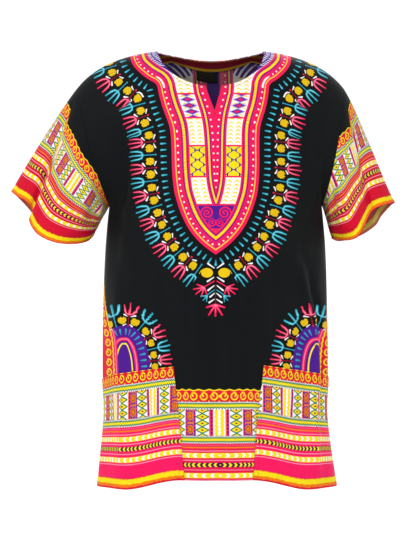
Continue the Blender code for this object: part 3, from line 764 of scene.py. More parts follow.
def paint_medallion(painter, p, q, medal):
    d, s, strip = medal
    fill, flood = painter.fill, painter.flood
    fill(PINK, d)
    painter.band(YELLOW, d, -7.3, -5.8)
    x = s.wrap(11.5)
    fill(WHITE, dot(x, d + 10.9, 1.6))
    fill(PURPLE, dot(abs(x) - 5.75, d + 10.6, 0.95))
    fill(PURPLE, dot(abs(x) - 2.8, d + 14.6, 0.8))
    beads = abs(s.wrap(3.1)) * 0.45
    for middle in (18.2, 26.6):
        fill(PURPLE, beads + abs(d + middle) - 1.15)
    fill(YELLOW, s.zigzag(3.4, 0.9) + abs(d + 22.4) - 1.9)
    away = abs(p)
    within, past_strip = d + MEDAL_BORDER, strip - STRIP_BORDER
    block = within.high(strip.above(STRIP_BORDER))
    neck = painter.mask(block.high(q - 62.0).high(away.plus(-0.35, q - 36.0)))
    curls = painter.mask(within.high(q.above(287.5)).high(q - 326.0))
    paint_blocks(painter, block, abs((past_strip + within) * 0.5), q)
    flood(PURPLE, neck)
    fill(WHITE, stroke(s.wrap(6.4), d.wrap(8.6, 2.0), (-1.3, -2.4), (1.3, 2.4), 1.05), neck)
    flood(PURPLE, curls)
    for x0, y0, radius, pitch in ((14.6, 300.0, 11.8, 5.4), (7.2, 316.5, 7.4, 4.4)):
        x, y = away - x0, q - y0
        fill(PINK, spiral(x, y, pitch, pitch * 0.27).high(dot(x, y, radius)), curls)
    fill(PINK, strip - 5.4)
    beads = abs(q.wrap(3.1)) * 0.45
    for middle in (3.1, -3.1):
        fill(PURPLE, beads + abs(strip - middle) - 1.05)
    fill(YELLOW, q.zigzag(3.4, 0.6) + abs(strip) - 1.2)
    row = q.wrap(11.5, 4.0)
    fill(WHITE, dot(strip + 7.4, row, 1.45))
    fill(PURPLE, dot(strip + 7.4, abs(row) - 5.75, 0.9))
    fill(PURPLE, strip + 17.5)


def paint_arch(painter, q, arch):
    """The side arches, and the curls beyond the wavy line towards each side seam."""
    d, s, scroll = arch
    fill = painter.fill
    fill(PURPLE, d)
    fill(TEAL, stroke(s.wrap(11.0), d, (0, -14.5), (0, -6.5), 0.9, 0.9))
    painter.bands(d, ((PINK, -25.5, -19.5), (PALE_PINK, -23.2, -21.6), (YELLOW, -31.6, -29.2)))
    edge = scroll + q.zigzag(9.0, 1.6)
    inside = painter.mask(d)
    painter.band(PINK, scroll, -7.0, 0.5, inside)
    painter.band(PALE_PINK, scroll, -4.2, -2.8, inside)
    fill(RED_PINK, edge.above(0.0))
    fill(ORANGE, edge.above(0.0).high(q - 445.0))
    painter.band(YELLOW, edge, 0.6, 3.0)
    paint_scroll(painter, scroll - 13.0, q.wrap(17.0, 6.0), 5.4, painter.mask(scroll.above(3.0)))


def paint_scroll(painter, x, y, radius, *masks):
    """A yellow curl, open at one side, with a hooked end."""
    gap = dot(x - radius * 0.8, y + 0.62 * radius, radius * 0.36)
    curl = (abs(length(x, y) - radius) - 1.15).high(-gap)
    curl = curl.low(stroke(x, y, (radius * 0.1, 0.0), (radius * 0.55, radius * -0.55), 1.15, 0.4))
    painter.fill(YELLOW, curl, *masks)


def paint_panels(painter, a, y):
    """Upright stripes of diamonds, waves and rosettes in the border's widest band, with the waves at 0."""
    fill, mask = painter.fill, painter.mask
    x = (a + PANEL_MIDDLE).math("FLOORED_MODULO", PANEL_PERIOD)
    for low, high, phase in ((11.0, 16.2, 0.0), (38.5, 45.6, 2.0), (66.0, 72.6, 1.0), (97.6, 103.7, 3.0)):
        painter.bands(x, ((PINK, low, high), (ORANGE, low, low + 1.5)))
        fill(PURPLE, oval(x - (low + high) / 2 - 0.7, y.wrap(6.2, phase), 1.7, 2.3))
    for middle in (27.4, 85.1):
        side = abs(x - middle)
        inside = mask(side - 11.2)
        diamond = abs(y.wrap(11.1, 1.0)).plus(2.05, side)
        rows = (GREEN, abs(diamond - 10.8) - 2.5), (YELLOW, diamond - 8.7), (CRIMSON, diamond - 3.1)
        for over, shape in rows:
            fill(over, shape, inside)
    side = abs(x - PANEL_MIDDLE)
    fill(YELLOW, abs(side - 4.9 + y.sine(7.0, 0.7)) - 2.8, mask(side - 10.0))
    inside = mask(abs(x - 5.5) - 5.5)
    painter.flood(PURPLE, inside)
    radius = length(x - 5.5, y.wrap(22.5, 11.0) * 0.78)
    rails = abs(abs(y.wrap(22.5)) - 0.8) - 0.8
    rosette = (ORANGE, abs(radius - 5.4) - 0.8), (BROWN, radius - 4.5), (ORANGE, radius - 2.6)
    for over, shape in (*rosette, (ORANGE, rails)):
        fill(over, shape, inside)


def paint_zigzags(painter, a, b, top):
    """A white band with green, yellow and green zigzags."""
    painter.band(WHITE, b, top, top + 12.4)
    middle = top + 6.2
    wave = abs(b + a.zigzag(4.9, 2.4) - middle)
    painter.fill(GREEN, wave - 4.7)
    painter.fill(YELLOW, wave - 2.0)
    painter.fill(PURPLE, dot(a.wrap(4.9), abs(b - middle) - 6.0, 0.9))


def paint_border(painter, pink):
    """The border's bands: a runs across, b down from the scalloped top, and onward with the arrows."""
    a, b, onward = painter.attribute("border")
    fill, bands = painter.fill, painter.bands
    curl_x = abs(a.wrap(CURL_PITCH))
    scallop = b + curl_x * -0.28
    fill(RED_PINK, scallop.above(-1.0))
    painter.band(YELLOW, scallop, -1.2, 0.9)
    paint_scroll(painter, onward.wrap(CURL_PITCH, CURL_PITCH / 2), b - 11.4, 5.7)
    fill(YELLOW, (curl_x.plus(1.6, 18.0) - b).high(b - 21.0))
    paint_zigzags(painter, a, b, 20.9)
    painter.band(WHITE, b, 33.3, 78.5)
    painter.field = painter.mask(abs(b - 55.9) - 22.5)
    paint_panels(painter, a, b - 33.5)
    painter.field = None
    paint_zigzags(painter, a, b, 78.0)
    painter.band(pink, b, 90.3, 190.6)
    fill(PALE_PINK, dot(a.wrap(4.4), b - 93.2, 0.85))
    stripes = ((PALE_PINK, middle - 0.8, middle + 0.8) for middle in (102.9, 118.6, 134.6, 151.6))
    bands(b, ((ORANGE, 96.0, 98.4), *stripes))
    for over, under, middle, half, period, bar, reach in (
        (WHITE, YELLOW, 110.4, 4.2, 14.5, 2.7, 3.4), (WHITE, YELLOW, 144.0, 4.2, 14.5, 2.7, 3.4),
        (YELLOW, PLUM, 126.3, 3.7, 9.2, 2.1, 3.2),
    ):
        side = abs(b - middle)
        painter.fill(under, side - half)
        fill(over, (abs(side.plus(0.9, onward).wrap(period)) - bar).high(side - reach))
    brushed = painter.noise(painter.vector("weave"), 260.0) * 5.0 + b - 2.5
    bands(brushed, ((ORANGE, 174.6, 190.2), (YELLOW, 175.8, 183.4)))
    fill(RED_PINK, brushed.above(188.2))


def make_body_print():
    painter = Painter("printed_cotton", BLACK)
    (p, q, _), medal, arch, (d, s, _) = (painter.attribute(name) for name in ("place", "medal", "arch", "ring"))
    noise = painter.noise(painter.vector("place"), 0.55, 1.0)
    specks = noise.math("MULTIPLY_ADD", 3.2, -1.35, clamp=True) * 0.55
    paint_ring(painter, d, s, specks)
    dash = stroke(medal[1].wrap(DASH_PITCH), medal[0], (0, 9.4), (0, 17.4), 1.0, 0.75)
    painter.fill(TEAL, dash)
    painter.fill(PALE_TEAL, dash + 1.2)
    paint_tip(painter, abs(p), q - MEDALLION[-1][1])
    paint_medallion(painter, p, q, medal)
    paint_arch(painter, q, arch)
    paint_border(painter, BODY_PINK)
    return painter.finish(painter.attribute("weave")[2])


def make_border_print(name, pink):
    painter = Painter(name, BLACK)
    paint_border(painter, pink)
    return painter.finish(painter.attribute("weave")[2])


def make_plain(name, ground, stripes=()):
    painter = Painter(name, ground)
    painter.bands(painter.attribute("border")[1], stripes)
    return painter.finish()


# ---- creases

# Each face's creases in print coordinates: from, to, half width, height in mm and 1 for a sharp one
CREASES = {
    FRONT: (
        (-140, 455, -146, 545, 5, 2.2, 1), (172, 430, 166, 560, 6, 2.6, 1), (158, 420, 152, 600, 11, -2.2, 0),
        (112, 345, 150, 425, 10, 1.8, 0), (128, 330, 168, 405, 9, -1.6, 0), (-172, 130, -150, 330, 13, -2.6, 0),
        (-150, 120, -128, 300, 12, 1.8, 0), (190, 100, 170, 240, 12, -2.4, 0), (172, 110, 140, 260, 11, 1.6, 0),
        (-192, 250, -120, 330, 8, 1.6, 0), (-196, 268, -138, 352, 8, -1.6, 0), (196, 250, 132, 318, 8, 1.5, 0),
        (-44, 420, -50, 720, 12, -1.2, 0), (-16, 470, -12, 740, 10, 1.0, 0), (28, 430, 34, 700, 12, -1.3, 0),
        (60, 470, 56, 745, 10, 1.2, 0), (-152, 570, -166, 752, 4, 2.8, 1), (-120, 600, -126, 750, 12, -1.6, 0),
        (166, 570, 176, 752, 4, 2.4, 1), (128, 600, 134, 750, 12, -1.5, 0), (96, 590, 100, 750, 10, 1.2, 0),
    ),
    BACK: (
        (-185, 200, -120, 290, 9, 2.0, 0), (185, 210, 110, 300, 9, 2.2, 0), (-150, 180, -130, 420, 13, -2.2, 0),
        (150, 150, 138, 400, 12, -2.4, 0), (-90, 330, -100, 720, 12, 1.8, 0), (-40, 380, -36, 730, 11, -1.6, 0),
        (12, 300, 22, 700, 12, 1.5, 0), (70, 360, 84, 740, 12, -1.8, 0), (120, 420, 128, 750, 6, 2.0, 1),
        (-160, 470, -150, 752, 6, 1.8, 1), (-60, 70, 60, 74, 12, 1.2, 0),
    ),
}
# Period, phase, length of the bend and height of the waves, in mm
WAVES = ((61.0, 0.3, 170.0, 0.5), (37.0, 1.9, 260.0, 0.35), (23.0, 4.1, 120.0, 0.22))
WAVE_DRIFT, WAVES_FROM, WAVES_OVER = 22, 120, 200
CREASE_END, CREASE_GAIN, HEM_RISE, HEM_GROOVE = 45.0, 1.35, 0.6, 0.5
# The creases die away at the neck, the armholes and the side seams, where the cloth is held
HELD_SIDE, HELD_TOP, HEM_WIDTH = 0.08, 0.35, 0.012
# Creases of the sleeves: share round, share along, reach round, reach along and height in mm
SLEEVE_CREASES = {
    RIGHT: (
        (0.128, 0.62, 0.02, 0.42, -5.0), (0.168, 0.72, 0.024, 0.34, 3.0), (0.3, 0.35, 0.035, 0.2, -2.6),
        (0.36, 0.55, 0.03, 0.22, 3.0), (0.41, 0.42, 0.022, 0.2, -3.2), (0.24, 0.85, 0.03, 0.25, -2.0),
        (0.335, 0.32, 0.013, 0.17, 3.2), (0.385, 0.34, 0.012, 0.18, -3.6), (0.435, 0.3, 0.013, 0.16, 3.0),
        (0.7, 0.5, 0.04, 0.3, -3.0), (0.8, 0.6, 0.04, 0.35, 2.6),
    ),
    LEFT: (
        (0.33, 0.32, 0.013, 0.16, 2.8), (0.38, 0.34, 0.012, 0.17, -3.2), (0.43, 0.3, 0.013, 0.16, 2.6),
        (0.15, 0.66, 0.02, 0.4, -4.5), (0.195, 0.7, 0.024, 0.34, 2.6), (0.29, 0.5, 0.035, 0.24, -2.4),
        (0.37, 0.5, 0.03, 0.22, 2.6), (0.42, 0.45, 0.022, 0.18, -2.8), (0.7, 0.5, 0.04, 0.3, -2.8),
        (0.82, 0.6, 0.04, 0.35, 2.4),
    ),
}
# The border's depth and the height of the hem's stitches in mm, the depth reached at each panel's hem, and
# the v of the stitches
BORDER_LENGTH, HEM_STITCH = 190.0, 18
BORDER_AT_HEM = {FRONT: 152.6, BACK: BORDER_LENGTH}
HEM_LINE = HEM_V - HEM_STITCH / BORDER_LENGTH * (HEM_V - POCKET_V)


def crease_height(face, u, v):
    """How far the small creases lift a panel, in metres."""
    p, q = CHARTS[face].at("pq", u, v)
    height = np.zeros_like(p)
    for start_p, start_q, end_p, end_q, width, rise, sharp in CREASES[face]:
        run_p, run_q = end_p - start_p, end_q - start_q
        size = math.sqrt(run_p * run_p + run_q * run_q)
        x, y = p - start_p, q - start_q
        along = (x * run_p + y * run_q) / size
        aside = abs(x * run_q - y * run_p) / size / width
        ends = ease(along / CREASE_END) * ease((size - along) / CREASE_END)
        height += rise * ends * (np.exp(-1.4 * aside) if sharp else bell(aside))
    for period, phase, bend, size in WAVES:
        wave = np.sin((p + WAVE_DRIFT * np.sin(q / bend + phase)) / period * 2 * math.pi + phase)
        height += size * wave * ease((q - WAVES_FROM) / WAVES_OVER)
    held = ease((1 - abs(u)) / HELD_SIDE) * ease(v / HELD_TOP)
    return (height * CREASE_GAIN * held + hem_height(v - HEM_LINE, HEM_WIDTH)) / MM


def hem_height(past, width):
    """A hem's rise and the groove at its stitches, in mm."""
    return HEM_RISE * ease(past / width) - HEM_GROOVE * bell(past / (width / 2))


# ---- pieces


def link(name, data):
    made = bpy.data.objects.new(name, data)
    bpy.context.scene.collection.objects.link(made)
    return made


def add_mesh(name, verts, faces, material, attributes=()):
    data = bpy.data.meshes.new(name)
    data.from_pydata(verts.tolist(), [], faces.tolist())
    for key, values in dict(attributes).items():
        made = data.attributes.new(key, "FLOAT_VECTOR", "POINT")
        made.data.foreach_set("vector", np.ascontiguousarray(values, np.float32).ravel())
    data.materials.append(material)
    data.shade_smooth()
    return link(name, data)


def shell(name, points, normals, thickness, attributes, material, closed=False):
    """A thin cloth wall: the outer face is the grid, the inner face lies under it, and the edges are shut."""
    valid = ~np.isnan(points[..., 0])
    index = np.full(valid.shape, -1)
    index[valid] = np.arange(valid.sum())
    if closed:
        index = np.concatenate((index, index[:1]))
    quads = np.stack((index[:-1, :-1], index[:-1, 1:], index[1:, 1:], index[1:, :-1]), -1).reshape(-1, 4)
    quads = quads[(quads >= 0).all(1)]
    outer, out = points[valid], normals[valid]
    one = quads[len(quads) // 2]
    a, b, c, _ = outer[one]
    if np.dot(np.cross(b - a, c - b), out[one[0]]) < 0:
        quads = quads[:, ::-1]
    count = len(outer)
    edges = np.concatenate([quads[:, [k, (k + 1) % 4]] for k in range(4)])
    keys, back_keys = edges[:, 0] * count + edges[:, 1], edges[:, 1] * count + edges[:, 0]
    rim = edges[~np.isin(keys, back_keys)]
    sides = np.stack((rim[:, 1], rim[:, 0], rim[:, 0] + count, rim[:, 1] + count), -1)
    layers = {key: np.tile(values[valid], (2, 1)) for key, values in attributes.items()}
    # The weave's third coordinate marks the turned side
    layers["weave"][count:, 2] = 1
    verts, faces = np.concatenate((outer, outer - out * thickness)), (quads, quads[:, ::-1] + count, sides)
    made = add_mesh(name + "_cloth", verts, np.concatenate(faces), material, layers)
    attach(made, "root")
    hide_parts(name)
    return made


# Half length and width, depth below and height above the cloth of a stitch, and the distance to the next
STITCH_LENGTH, STITCH_WIDTH, STITCH_SUNK, STITCH_RISE, STITCH_PITCH = 0.0012, 0.0003, 0.0002, 0.0004, 0.0034
STITCH_CORNERS = ((-1, -1), (1, -1), (1, 1), (-1, 1))
STITCH_FACES = ((0, 3, 2, 1), (4, 5, 6, 7), (0, 1, 5, 4), (1, 2, 6, 5), (2, 3, 7, 6), (3, 0, 4, 7))


def sewing(name, lines, material):
    """Short raised stitches along lines of the cloth. Each line is its points and the cloth's normals there."""
    verts, faces, count = [], [], 0
    for points, normals in lines:
        walk = walked(points)
        at = np.arange(STITCH_PITCH, walk[-1] - STITCH_PITCH / 2, STITCH_PITCH)

        def along_line(values, at):
            return np.stack([np.interp(at, walk, values[:, k]) for k in range(3)], 1)

        along = unit(along_line(points, at + STITCH_LENGTH) - along_line(points, at - STITCH_LENGTH))
        out = unit(along_line(normals, at))
        aside = np.cross(out, along)
        middle = along_line(points, at)
        corners = [
            middle + along * (x * STITCH_LENGTH * size) + aside * (y * STITCH_WIDTH * size) + out * rise
            for rise, size in ((-STITCH_SUNK, 1.0), (STITCH_RISE, 0.7)) for x, y in STITCH_CORNERS
        ]
        verts.append(np.stack(corners, 1).reshape(-1, 3))
        faces.append((np.arange(len(at))[:, None, None] * 8 + np.array(STITCH_FACES) + count).reshape(-1, 4))
        count += len(verts[-1])
    made = add_mesh(name, np.concatenate(verts), np.concatenate(faces), material)
    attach(made, "root")
    return made


# The print's place on each piece, in mm
BORDER_SHIFT, GATHER_FROM, GATHER = 6.0, 42, 0.38
ARCH_SHIFT, ARCH_SHIFT_FROM, ARCH_SHIFT_OVER = 18.0, 330, 70
ARCH_STEM_DEPTH, ARCH_SCALE = 8.0, 1.16
# Waves lie half a period from the rosettes, at -72 and -150 on the right pocket or at 88 and 166 on the left
POCKET_WAVES, POCKET_SCALE, POCKET_BORDER_START = {RIGHT: -111, LEFT: 127}, 0.75, 1.5
# Where stitches run: below the neck in t and how far along it, the vents' top and their column, and how far
# inside the pockets' edges in column and v
NECK_STITCH, NECK_STITCH_END = 0.022, 0.985
VENT_V, SEAM_COLUMN = 1.68, 0.975
POCKET_STITCH, MOUTH_STITCH, POCKET_STITCH_END = 0.022, 0.036, 0.01


def panel_layers(face, u, v, points):
    """The print's coordinates at each point of a panel."""
    u, v = np.nan_to_num(u), np.nan_to_num(v)
    p, q, a = CHARTS[face].at("pqa", u, v)
    mirrored = layer(abs(p), q)
    edge, _ = beside(mirrored, EDGE_LINE)
    _, walk = beside(mirrored, DASH_LINE)
    strip, _ = beside(mirrored, STRIP_LINE)
    ring, ring_walk = beside(mirrored, STEM_LINE)
    at_sides, a_print = mirrored, a
    if face == FRONT:
        # Folds draw the left side's arch and curls outwards, and the print together towards the pockets
        drawn = ARCH_SHIFT * ease((q - ARCH_SHIFT_FROM) / ARCH_SHIFT_OVER)
        at_sides = layer(abs(np.where(p > 0, np.maximum(p - drawn, 0), p)), q)
        a_print = a - BORDER_SHIFT + np.sign(a) * GATHER * np.maximum(abs(a) - GATHER_FROM, 0)
    arch, arch_walk = beside(at_sides, ARCH_LINE)
    arch_ring, arch_ring_walk = (arch - ARCH_STEM_DEPTH - 2) * ARCH_SCALE, arch_walk * ARCH_SCALE
    nearer = arch_ring < ring
    ring, ring_walk = np.where(nearer, arch_ring, ring), np.where(nearer, arch_ring_walk, ring_walk)
    scroll, _ = beside(at_sides, SCROLL_LINE)
    # The border lies below the underarm only
    border = np.where(v > 1, BORDER_AT_HEM[face] - (hem_drop(face, u) + points[..., 2]) * MM, -200.0)
    return {
        "place": layer(p, q, 0),
        "medal": layer(edge, walk, strip),
        "ring": layer(ring, ring_walk, 0),
        "arch": layer(arch, arch_walk, scroll),
        "border": layer(a_print, border, abs(a_print)),
        "weave": layer(a / MM, q / MM, 0),
    }


def cloth_line(face, columns, v, lift=0.0):
    """A line over a panel below the underarm, at its columns and v."""
    columns, v = np.broadcast_arrays(np.asarray(columns, float), v)
    points, normals = surface(face, u_of_column(face, columns, v), v)
    return points + normals * lift, normals


def neck_line(face):
    """A line 5 mm below a panel's neckline."""
    columns = np.linspace(-1, 1, 161) * (NECK_COLUMN * NECK_STITCH_END)
    u, t = column_tops(face, abs(columns), np.ones_like(columns))
    return surface(face, u * np.sign(columns), t + NECK_STITCH)


def build_panels(material, thread, step):
    for face, name, area in ((FRONT, "front_panel", 0.36), (BACK, "back_panel", 0.38)):
        u, v, _ = panel_uv(face, step)
        points, normals = surface(face, u, v)
        points[np.isnan(u)] = np.nan
        made = shell(name, points, normals, CLOTH, panel_layers(face, u, v, points), material)
        reach = POCKET_COLUMN * 0.98 if face == FRONT else SEAM_COLUMN
        lines = [neck_line(face), cloth_line(face, np.linspace(-reach, reach, 241), HEM_LINE)]
        if face == BACK:
            downs = np.linspace(VENT_V, HEM_LINE, 81)
            lines += [cloth_line(face, side * SEAM_COLUMN, downs) for side in (RIGHT, LEFT)]
        stitches = sewing(name + "_stitches", lines, thread)


def build_pockets(material, thread, step):
    lift = GAP + POCKET_CLOTH
    u, v, column = panel_uv(FRONT, step)
    points, normals = surface(FRONT, u, v)
    points = points + normals * lift
    rows = v[-1] >= POCKET_V - 1e-9
    for side, name in ((RIGHT, "right_pocket"), (LEFT, "left_pocket")):
        cut = np.ix_(column[:, -1] * side >= POCKET_COLUMN - 1e-9, rows)
        q, a = CHARTS[FRONT].at("qa", u[cut], v[cut])
        border = (v[cut] - POCKET_V) / (HEM_V - POCKET_V) * BORDER_LENGTH + POCKET_BORDER_START
        a_print = (a - POCKET_WAVES[side]) / POCKET_SCALE
        layers = {"border": layer(a_print, border, a_print * side), "weave": layer(a / MM, q / MM, 0)}
        made = shell(name, points[cut], normals[cut], POCKET_CLOTH, layers, material)
        inner = POCKET_COLUMN + POCKET_STITCH
        wide = np.linspace(inner, SEAM_COLUMN, 121) * side
        downs = np.linspace(POCKET_V + POCKET_STITCH_END, HEM_V - POCKET_STITCH_END, 121)
        lines = [cloth_line(FRONT, columns, at, lift) for columns, at in (
            (wide, POCKET_V + MOUTH_STITCH), (wide, HEM_LINE), (side * inner, downs),
            (side * SEAM_COLUMN, np.linspace(VENT_V, HEM_LINE, 81)),
        )]
        stitches = sewing(name + "_stitches", lines, thread)


def build_neck_trim(facing, label, step):
    """The facing turned inside the back neck, and the bare label under it."""
    u, v, column = panel_uv(BACK, step)
    column = column[:, -1]
    half = abs(column)
    top_u, top_t = column_tops(BACK, half, np.ones_like(half))
    label_place = (column >= LABEL_COLUMNS[0]) & (column <= LABEL_COLUMNS[1])
    for name, material, mine, low, high, slot, flat in (
        ("back_neck_facing", facing, half <= FACING_COLUMN, 0.0, FACING_STEP, "facing", (0.3, 0.03)),
        ("neck_label", label, label_place, FACING_STEP + LABEL_GAP, FACING_STEP + LABEL_STEP, "label",
         (0.045, 0.018)),
    ):
        downs = np.linspace(low, high, 9)[None, :]
        own_half, own_u, own_t = (x[mine][:, None] for x in (half, top_u, top_t))
        t = own_t + downs
        pu = np.sign(column[mine])[:, None] * mix(own_u, own_half, (t - own_t) / (1 - own_t))
        if low == 0:
            count = int(np.isnan(u[len(u) // 2]).sum())
            pu = np.concatenate((u[mine][:, :count], pu), 1)
            t = np.concatenate((v[mine][:, :count], t), 1)
        points, normals = surface(BACK, pu, t)
        points = points - normals * (CLOTH + GAP)
        points[np.isnan(pu)] = np.nan
        q, a = CHARTS[BACK].at("qa", np.nan_to_num(pu), t)
        layers = {"border": layer(a, (t - own_t) / FACING_STEP, 0), "weave": layer(a / MM, q / MM, 0)}
        made = shell(name, points, normals, POCKET_CLOTH, layers, material)


# ---- sleeves

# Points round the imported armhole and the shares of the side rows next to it
ARMHOLE_POINTS = 24
SIDE_SHARES = (0.0, 0.1, 0.4, 0.7)
# How much cloth each sleeve has above its hem, in mm at shares of the way round. It jumps at the fold
SLEEVE_CLOTH = {
    RIGHT: ((0, 214), (0.122, 208), (0.134, 237), (0.2, 214), (0.25, 205), (0.3, 192), (0.35, 181), (0.5, 176),
            (0.7, 180), (1, 214)),
    LEFT: ((0, 207), (0.142, 201), (0.154, 234), (0.18, 214), (0.25, 174), (0.36, 124), (0.42, 116), (0.5, 124),
           (0.6, 160), (0.7, 180), (1, 207)),
}
FOLD_AT, FOLD_OVER, FOLD_LEAN, FOLD_HIDES = 0.125, 0.01, 0.06, 16
SLEEVE_SCALE, SLEEVE_BORDER_SCALE, SLEEVE_BORDER_POWER = 0.8, 1.06, 1.6
CUFF_STITCH, CUFF_LINE, CUFF_WIDTH = 16.0, 0.92, 0.03
SLEEVE_GAP = 1.3 * GAP
# Rough lengths of a sleeve in metres, round and along, and the share along where its print is measured round
ROUND_RUN, SLEEVE_RUN, PRINT_RING = 0.5, 0.21, 0.8
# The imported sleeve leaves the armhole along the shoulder's cloth at the top, and this way under the arm
UNDER_OUT, UNDER_DOWN, TOP_SHARE, FULL_REACH = 0.5, 0.85, 0.45, 0.2
TUCKS_FADE, CREASES_FADE = 0.12, 0.25


def column_rows(face, column):
    """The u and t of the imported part's rows along a column of the yoke."""
    side_u, side_t = column_tops(face, np.full(len(SIDE_SHARES), column), np.array(SIDE_SHARES))
    top_u, top_t = (x[0] for x in column_tops(face, np.array((column,)), np.ones(1)))
    start = top_t + FACING_STEP + LABEL_STEP
    t = np.concatenate(((top_t, top_t + FACING_STEP), start + (1 - start) * np.arange(7) / 6))
    u = top_u + (column - top_u) * (t - top_t) / (1 - top_t)
    return np.concatenate((side_u, u)), np.concatenate((side_t, t))


def armhole(side):
    """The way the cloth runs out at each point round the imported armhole, from the shoulder over the front."""
    rows = np.array(ARMHOLE_ROWS)
    runs = {}
    for face in (FRONT, BACK):
        next_u, next_t = column_rows(face, ARMHOLE_NEXT[face])
        edge = panel_point(face, np.full(len(rows), float(side)), rows)
        runs[face] = unit(edge - panel_point(face, next_u * side, next_t))
    top, under = unit(runs[FRONT][:1] + runs[BACK][:1]), unit(runs[FRONT][-1:] + runs[BACK][-1:])
    return np.concatenate((top, runs[FRONT][1:-1], under, runs[BACK][1:-1][::-1], top))


def cuff_at(sleeve, share):
    rows = np.array(sleeve.cuff)
    knots = np.concatenate((rows[:, 0] - 1, rows[:, 0], rows[:, 0] + 1))
    over, depth, droop = (cubic_through(knots, np.tile(rows[:, k], 3), share)[:, None] for k in (1, 2, 3))
    outer, inner = np.array(sleeve.outer), np.array(sleeve.inner)
    out = unit(outer - inner)
    down = np.array((out[2] * sleeve.side, 0, -abs(out[0])))
    return (outer + inner) / 2 + out * over + down * droop + np.array((0, 1, 0)) * depth, down


def sleeve_form(side, share, along):
    """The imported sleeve's points, with its tucks under the arm."""
    sleeve = SLEEVES[side]
    knots = np.arange(ARMHOLE_POINTS + 1) / ARMHOLE_POINTS
    runs = unit(np.stack([np.interp(share, knots, armhole(side)[:, k]) for k in range(3)], 1))
    rows = np.interp(np.minimum(share, 1 - share) * ARMHOLE_POINTS, np.arange(len(ARMHOLE_ROWS)), ARMHOLE_ROWS)
    edge = np.full(len(share), float(side))
    front, back = panel_point(FRONT, edge, rows), panel_point(BACK, edge, rows)
    start = np.where((share < 0.5)[:, None], front, back)
    ends = (rows < 1e-6) | (rows > 1 - 1e-6)
    start[ends] = (front[ends] + back[ends]) / 2
    end, down = cuff_at(sleeve, share)
    top = ease((1 + np.cos(2 * math.pi * share)) / 2 / TOP_SHARE)[:, None]
    leave = unit(runs * top + np.array((side * UNDER_OUT, 0, -UNDER_DOWN)) * (1 - top))
    start = start + np.array((side * SLEEVE_GAP, 0, 0)) * (1 - top) + runs * SLEEVE_GAP * top
    reach = np.minimum(1.0, np.linalg.norm(end - start, axis=1) / FULL_REACH)[:, None, None]
    s = along[None, :, None]
    points = (
        start[:, None] * (2 * s**3 - 3 * s**2 + 1)
        + leave[:, None] * SHOULDER_STRETCH * reach * (s**3 - 2 * s**2 + s)
        + end[:, None] * (3 * s**2 - 2 * s**3) + down * CUFF_STRETCH * reach * (s**3 - s**2)
    )
    height = np.zeros(points.shape[:2])
    for middle, width, around, spread, size in TUCKS[side]:
        height += size * bell((along[None] - middle) / width) * bell((share[:, None] - around) / spread)
    out = unit(layer(0, np.where(share < 0.5, FRONT, BACK), -0.5))
    return points + out[:, None] * (height * ease(along / TUCKS_FADE))[..., None]


def ring_normals(points):
    around = np.roll(points, -1, 0) - np.roll(points, 1, 0)
    along = np.gradient(points, axis=1)
    normals = unit(np.cross(around, along))
    middle = points.mean(axis=(0, 1))
    sign = np.sign(((points - middle) * normals).sum(-1).mean())
    return normals * sign


def build_sleeves(material, thread, step):
    for side, name, area in ((RIGHT, "right_sleeve", 0.082), (LEFT, "left_sleeve", 0.07)):
        share = np.linspace(0, 1, int(ROUND_RUN / step), endpoint=False)
        along = np.linspace(0, 1, int(SLEEVE_RUN / step))
        points = sleeve_form(side, share, along)
        leaning = share[:, None] + FOLD_LEAN * (0.5 - along[None])
        height = np.zeros(points.shape[:2])
        for around, middle, spread, width, size in SLEEVE_CREASES[side]:
            height += size * bell((leaning - around) / spread) * bell((along[None] - middle) / width)
        height += hem_height(along - CUFF_LINE, CUFF_WIDTH)
        points = points + ring_normals(points) * (height / MM * ease(along / CREASES_FADE))[..., None]
        normals = ring_normals(points)
        steps = np.linalg.norm(np.diff(points, axis=1), axis=-1) * MM
        walk = np.concatenate((np.cumsum(steps[:, ::-1], 1)[:, ::-1], np.zeros((len(share), 1))), 1)
        size = walk[:, :1]
        cloth = np.interp(leaning, *np.array(SLEEVE_CLOTH[side]).T)
        hem_up = walk + (cloth - size) * (walk / size) ** SLEEVE_BORDER_POWER
        ring = points[:, int(len(along) * PRINT_RING)]
        round_steps = np.linalg.norm(ring - np.roll(ring, 1, 0), axis=1) * MM
        # The print's seam lies under the arm, and the fold hides some of it
        a = np.where(share > 0.5, np.cumsum(round_steps) - round_steps.sum(), np.cumsum(round_steps))[:, None]
        a_print = (a + FOLD_HIDES * ease((leaning - FOLD_AT) / FOLD_OVER)) / SLEEVE_SCALE
        layers = {
            "border": layer(a_print, BORDER_LENGTH - hem_up * SLEEVE_BORDER_SCALE, a_print * side),
            "weave": layer(a / MM, walk / MM, 0),
        }
        made = shell(name, points, normals, CLOTH, layers, material, closed=True)
        rows = np.append(np.arange(len(share)), 0)
        hem = np.argmin(abs(walk - CUFF_STITCH), axis=1)[rows]
        stitches = sewing(name + "_stitches", [(points[rows, hem], normals[rows, hem])], thread)


# ---- the scene

PANEL_STEP, FINE_STEP = 0.0036, 0.0026

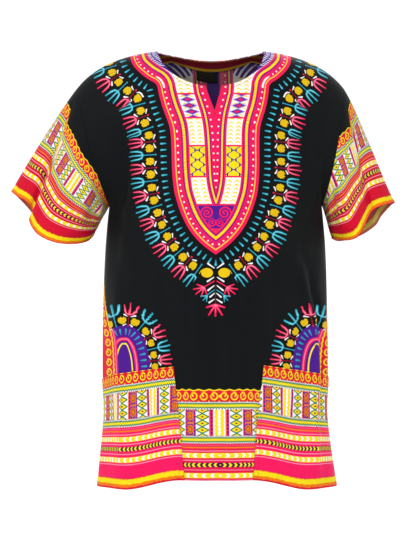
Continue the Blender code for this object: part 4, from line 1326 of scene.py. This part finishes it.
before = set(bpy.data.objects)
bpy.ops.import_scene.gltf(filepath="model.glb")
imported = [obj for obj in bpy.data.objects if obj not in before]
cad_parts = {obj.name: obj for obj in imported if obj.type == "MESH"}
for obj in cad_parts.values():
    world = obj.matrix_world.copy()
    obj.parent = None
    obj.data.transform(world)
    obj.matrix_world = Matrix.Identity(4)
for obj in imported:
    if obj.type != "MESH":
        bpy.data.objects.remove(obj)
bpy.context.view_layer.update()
thread = plain_material("thread", THREAD_RED, 0.7)
build_panels(make_body_print(), thread, PANEL_STEP)
build_pockets(make_border_print("pocket_print", POCKET_PINK), thread, FINE_STEP)
build_sleeves(make_border_print("sleeve_print", SLEEVE_PINK), thread, FINE_STEP)
# The facing is painted as it looks in shade inside the back neck: a dark maroon ground for the border's pink
# and a brown top line for its yellow edge, with a gold line along its lower edge
shaded_facing_print = make_plain("shaded_facing_print", SHADED_FACING_RED, ((GOLD, 0.86, 1.1), (BROWN, -0.6, 0.02)))
build_neck_trim(shaded_facing_print, make_plain("label_cloth", LABEL_GREY), FINE_STEP)

# Floor and backdrop in one sweep
FLOOR_START, FLOOR_Z, SWEEP_Y, SWEEP_RADIUS, SWEEP_STEPS, WIDE, TALL = -7.0, -1.15, 2.2, 1.4, 24, 9.0, 6.0
profile = [(FLOOR_START, FLOOR_Z), (SWEEP_Y, FLOOR_Z)]
for k in range(1, SWEEP_STEPS + 1):
    turn = math.pi / 2 * k / SWEEP_STEPS
    profile.append((SWEEP_Y + SWEEP_RADIUS * math.sin(turn), FLOOR_Z + SWEEP_RADIUS * (1 - math.cos(turn))))
profile.append((SWEEP_Y + SWEEP_RADIUS, TALL))
sweep = np.array([(x, y, z) for y, z in profile for x in (-WIDE, WIDE)])
strips = np.array([(2 * k, 2 * k + 1, 2 * k + 3, 2 * k + 2) for k in range(len(profile) - 1)])
add_mesh("floor", sweep, strips, plain_material("floor_white", (0.93, 0.93, 0.93, 1), 0.9))

scene = bpy.context.scene
scene.world = bpy.data.worlds.new("studio")
scene.world.use_nodes = True
world_tree = scene.world.node_tree
set_inputs(world_tree, world_tree.nodes["Background"], {"Color": (1, 1, 1, 1), "Strength": 0.95})

# Place, size and power of the lights, which all point at the shirt's middle
MIDDLE = (0, 0, -0.38)
for name, place, size, power in (
    ("key", (-1.9, -2.4, 1.3), 1.0, 52), ("fill", (2.4, -1.8, 0.5), 1.4, 20),
    ("back", (0.3, 1.9, 1.6), 1.4, 26),
):
    light = bpy.data.lights.new(name, "AREA")
    light.shape, light.size, light.energy = "DISK", size, power
    lamp = link(name, light)
    lamp.location = place
    lamp.rotation_euler = (Vector(MIDDLE) - Vector(place)).to_track_quat("-Z", "Y").to_euler()

# The photograph: width and height in pixels, metres a pixel, and where the origin lies in it
PHOTO_W, PHOTO_H, PIXEL, ORIGIN_X, ORIGIN_Y = 416, 541, 0.00176, 212, 52
DISTANCE, SENSOR = 3.0, 36.0
camera = bpy.data.cameras.new("camera")
camera.sensor_width = SENSOR
camera.lens = SENSOR * DISTANCE / (PHOTO_H * PIXEL)
scene.camera = link("camera", camera)
scene.camera.location = ((PHOTO_W / 2 - ORIGIN_X) * PIXEL, -DISTANCE, (ORIGIN_Y - PHOTO_H / 2) * PIXEL)
scene.camera.rotation_euler = (math.pi / 2, 0, 0)
scene.view_settings.view_transform = "Standard"
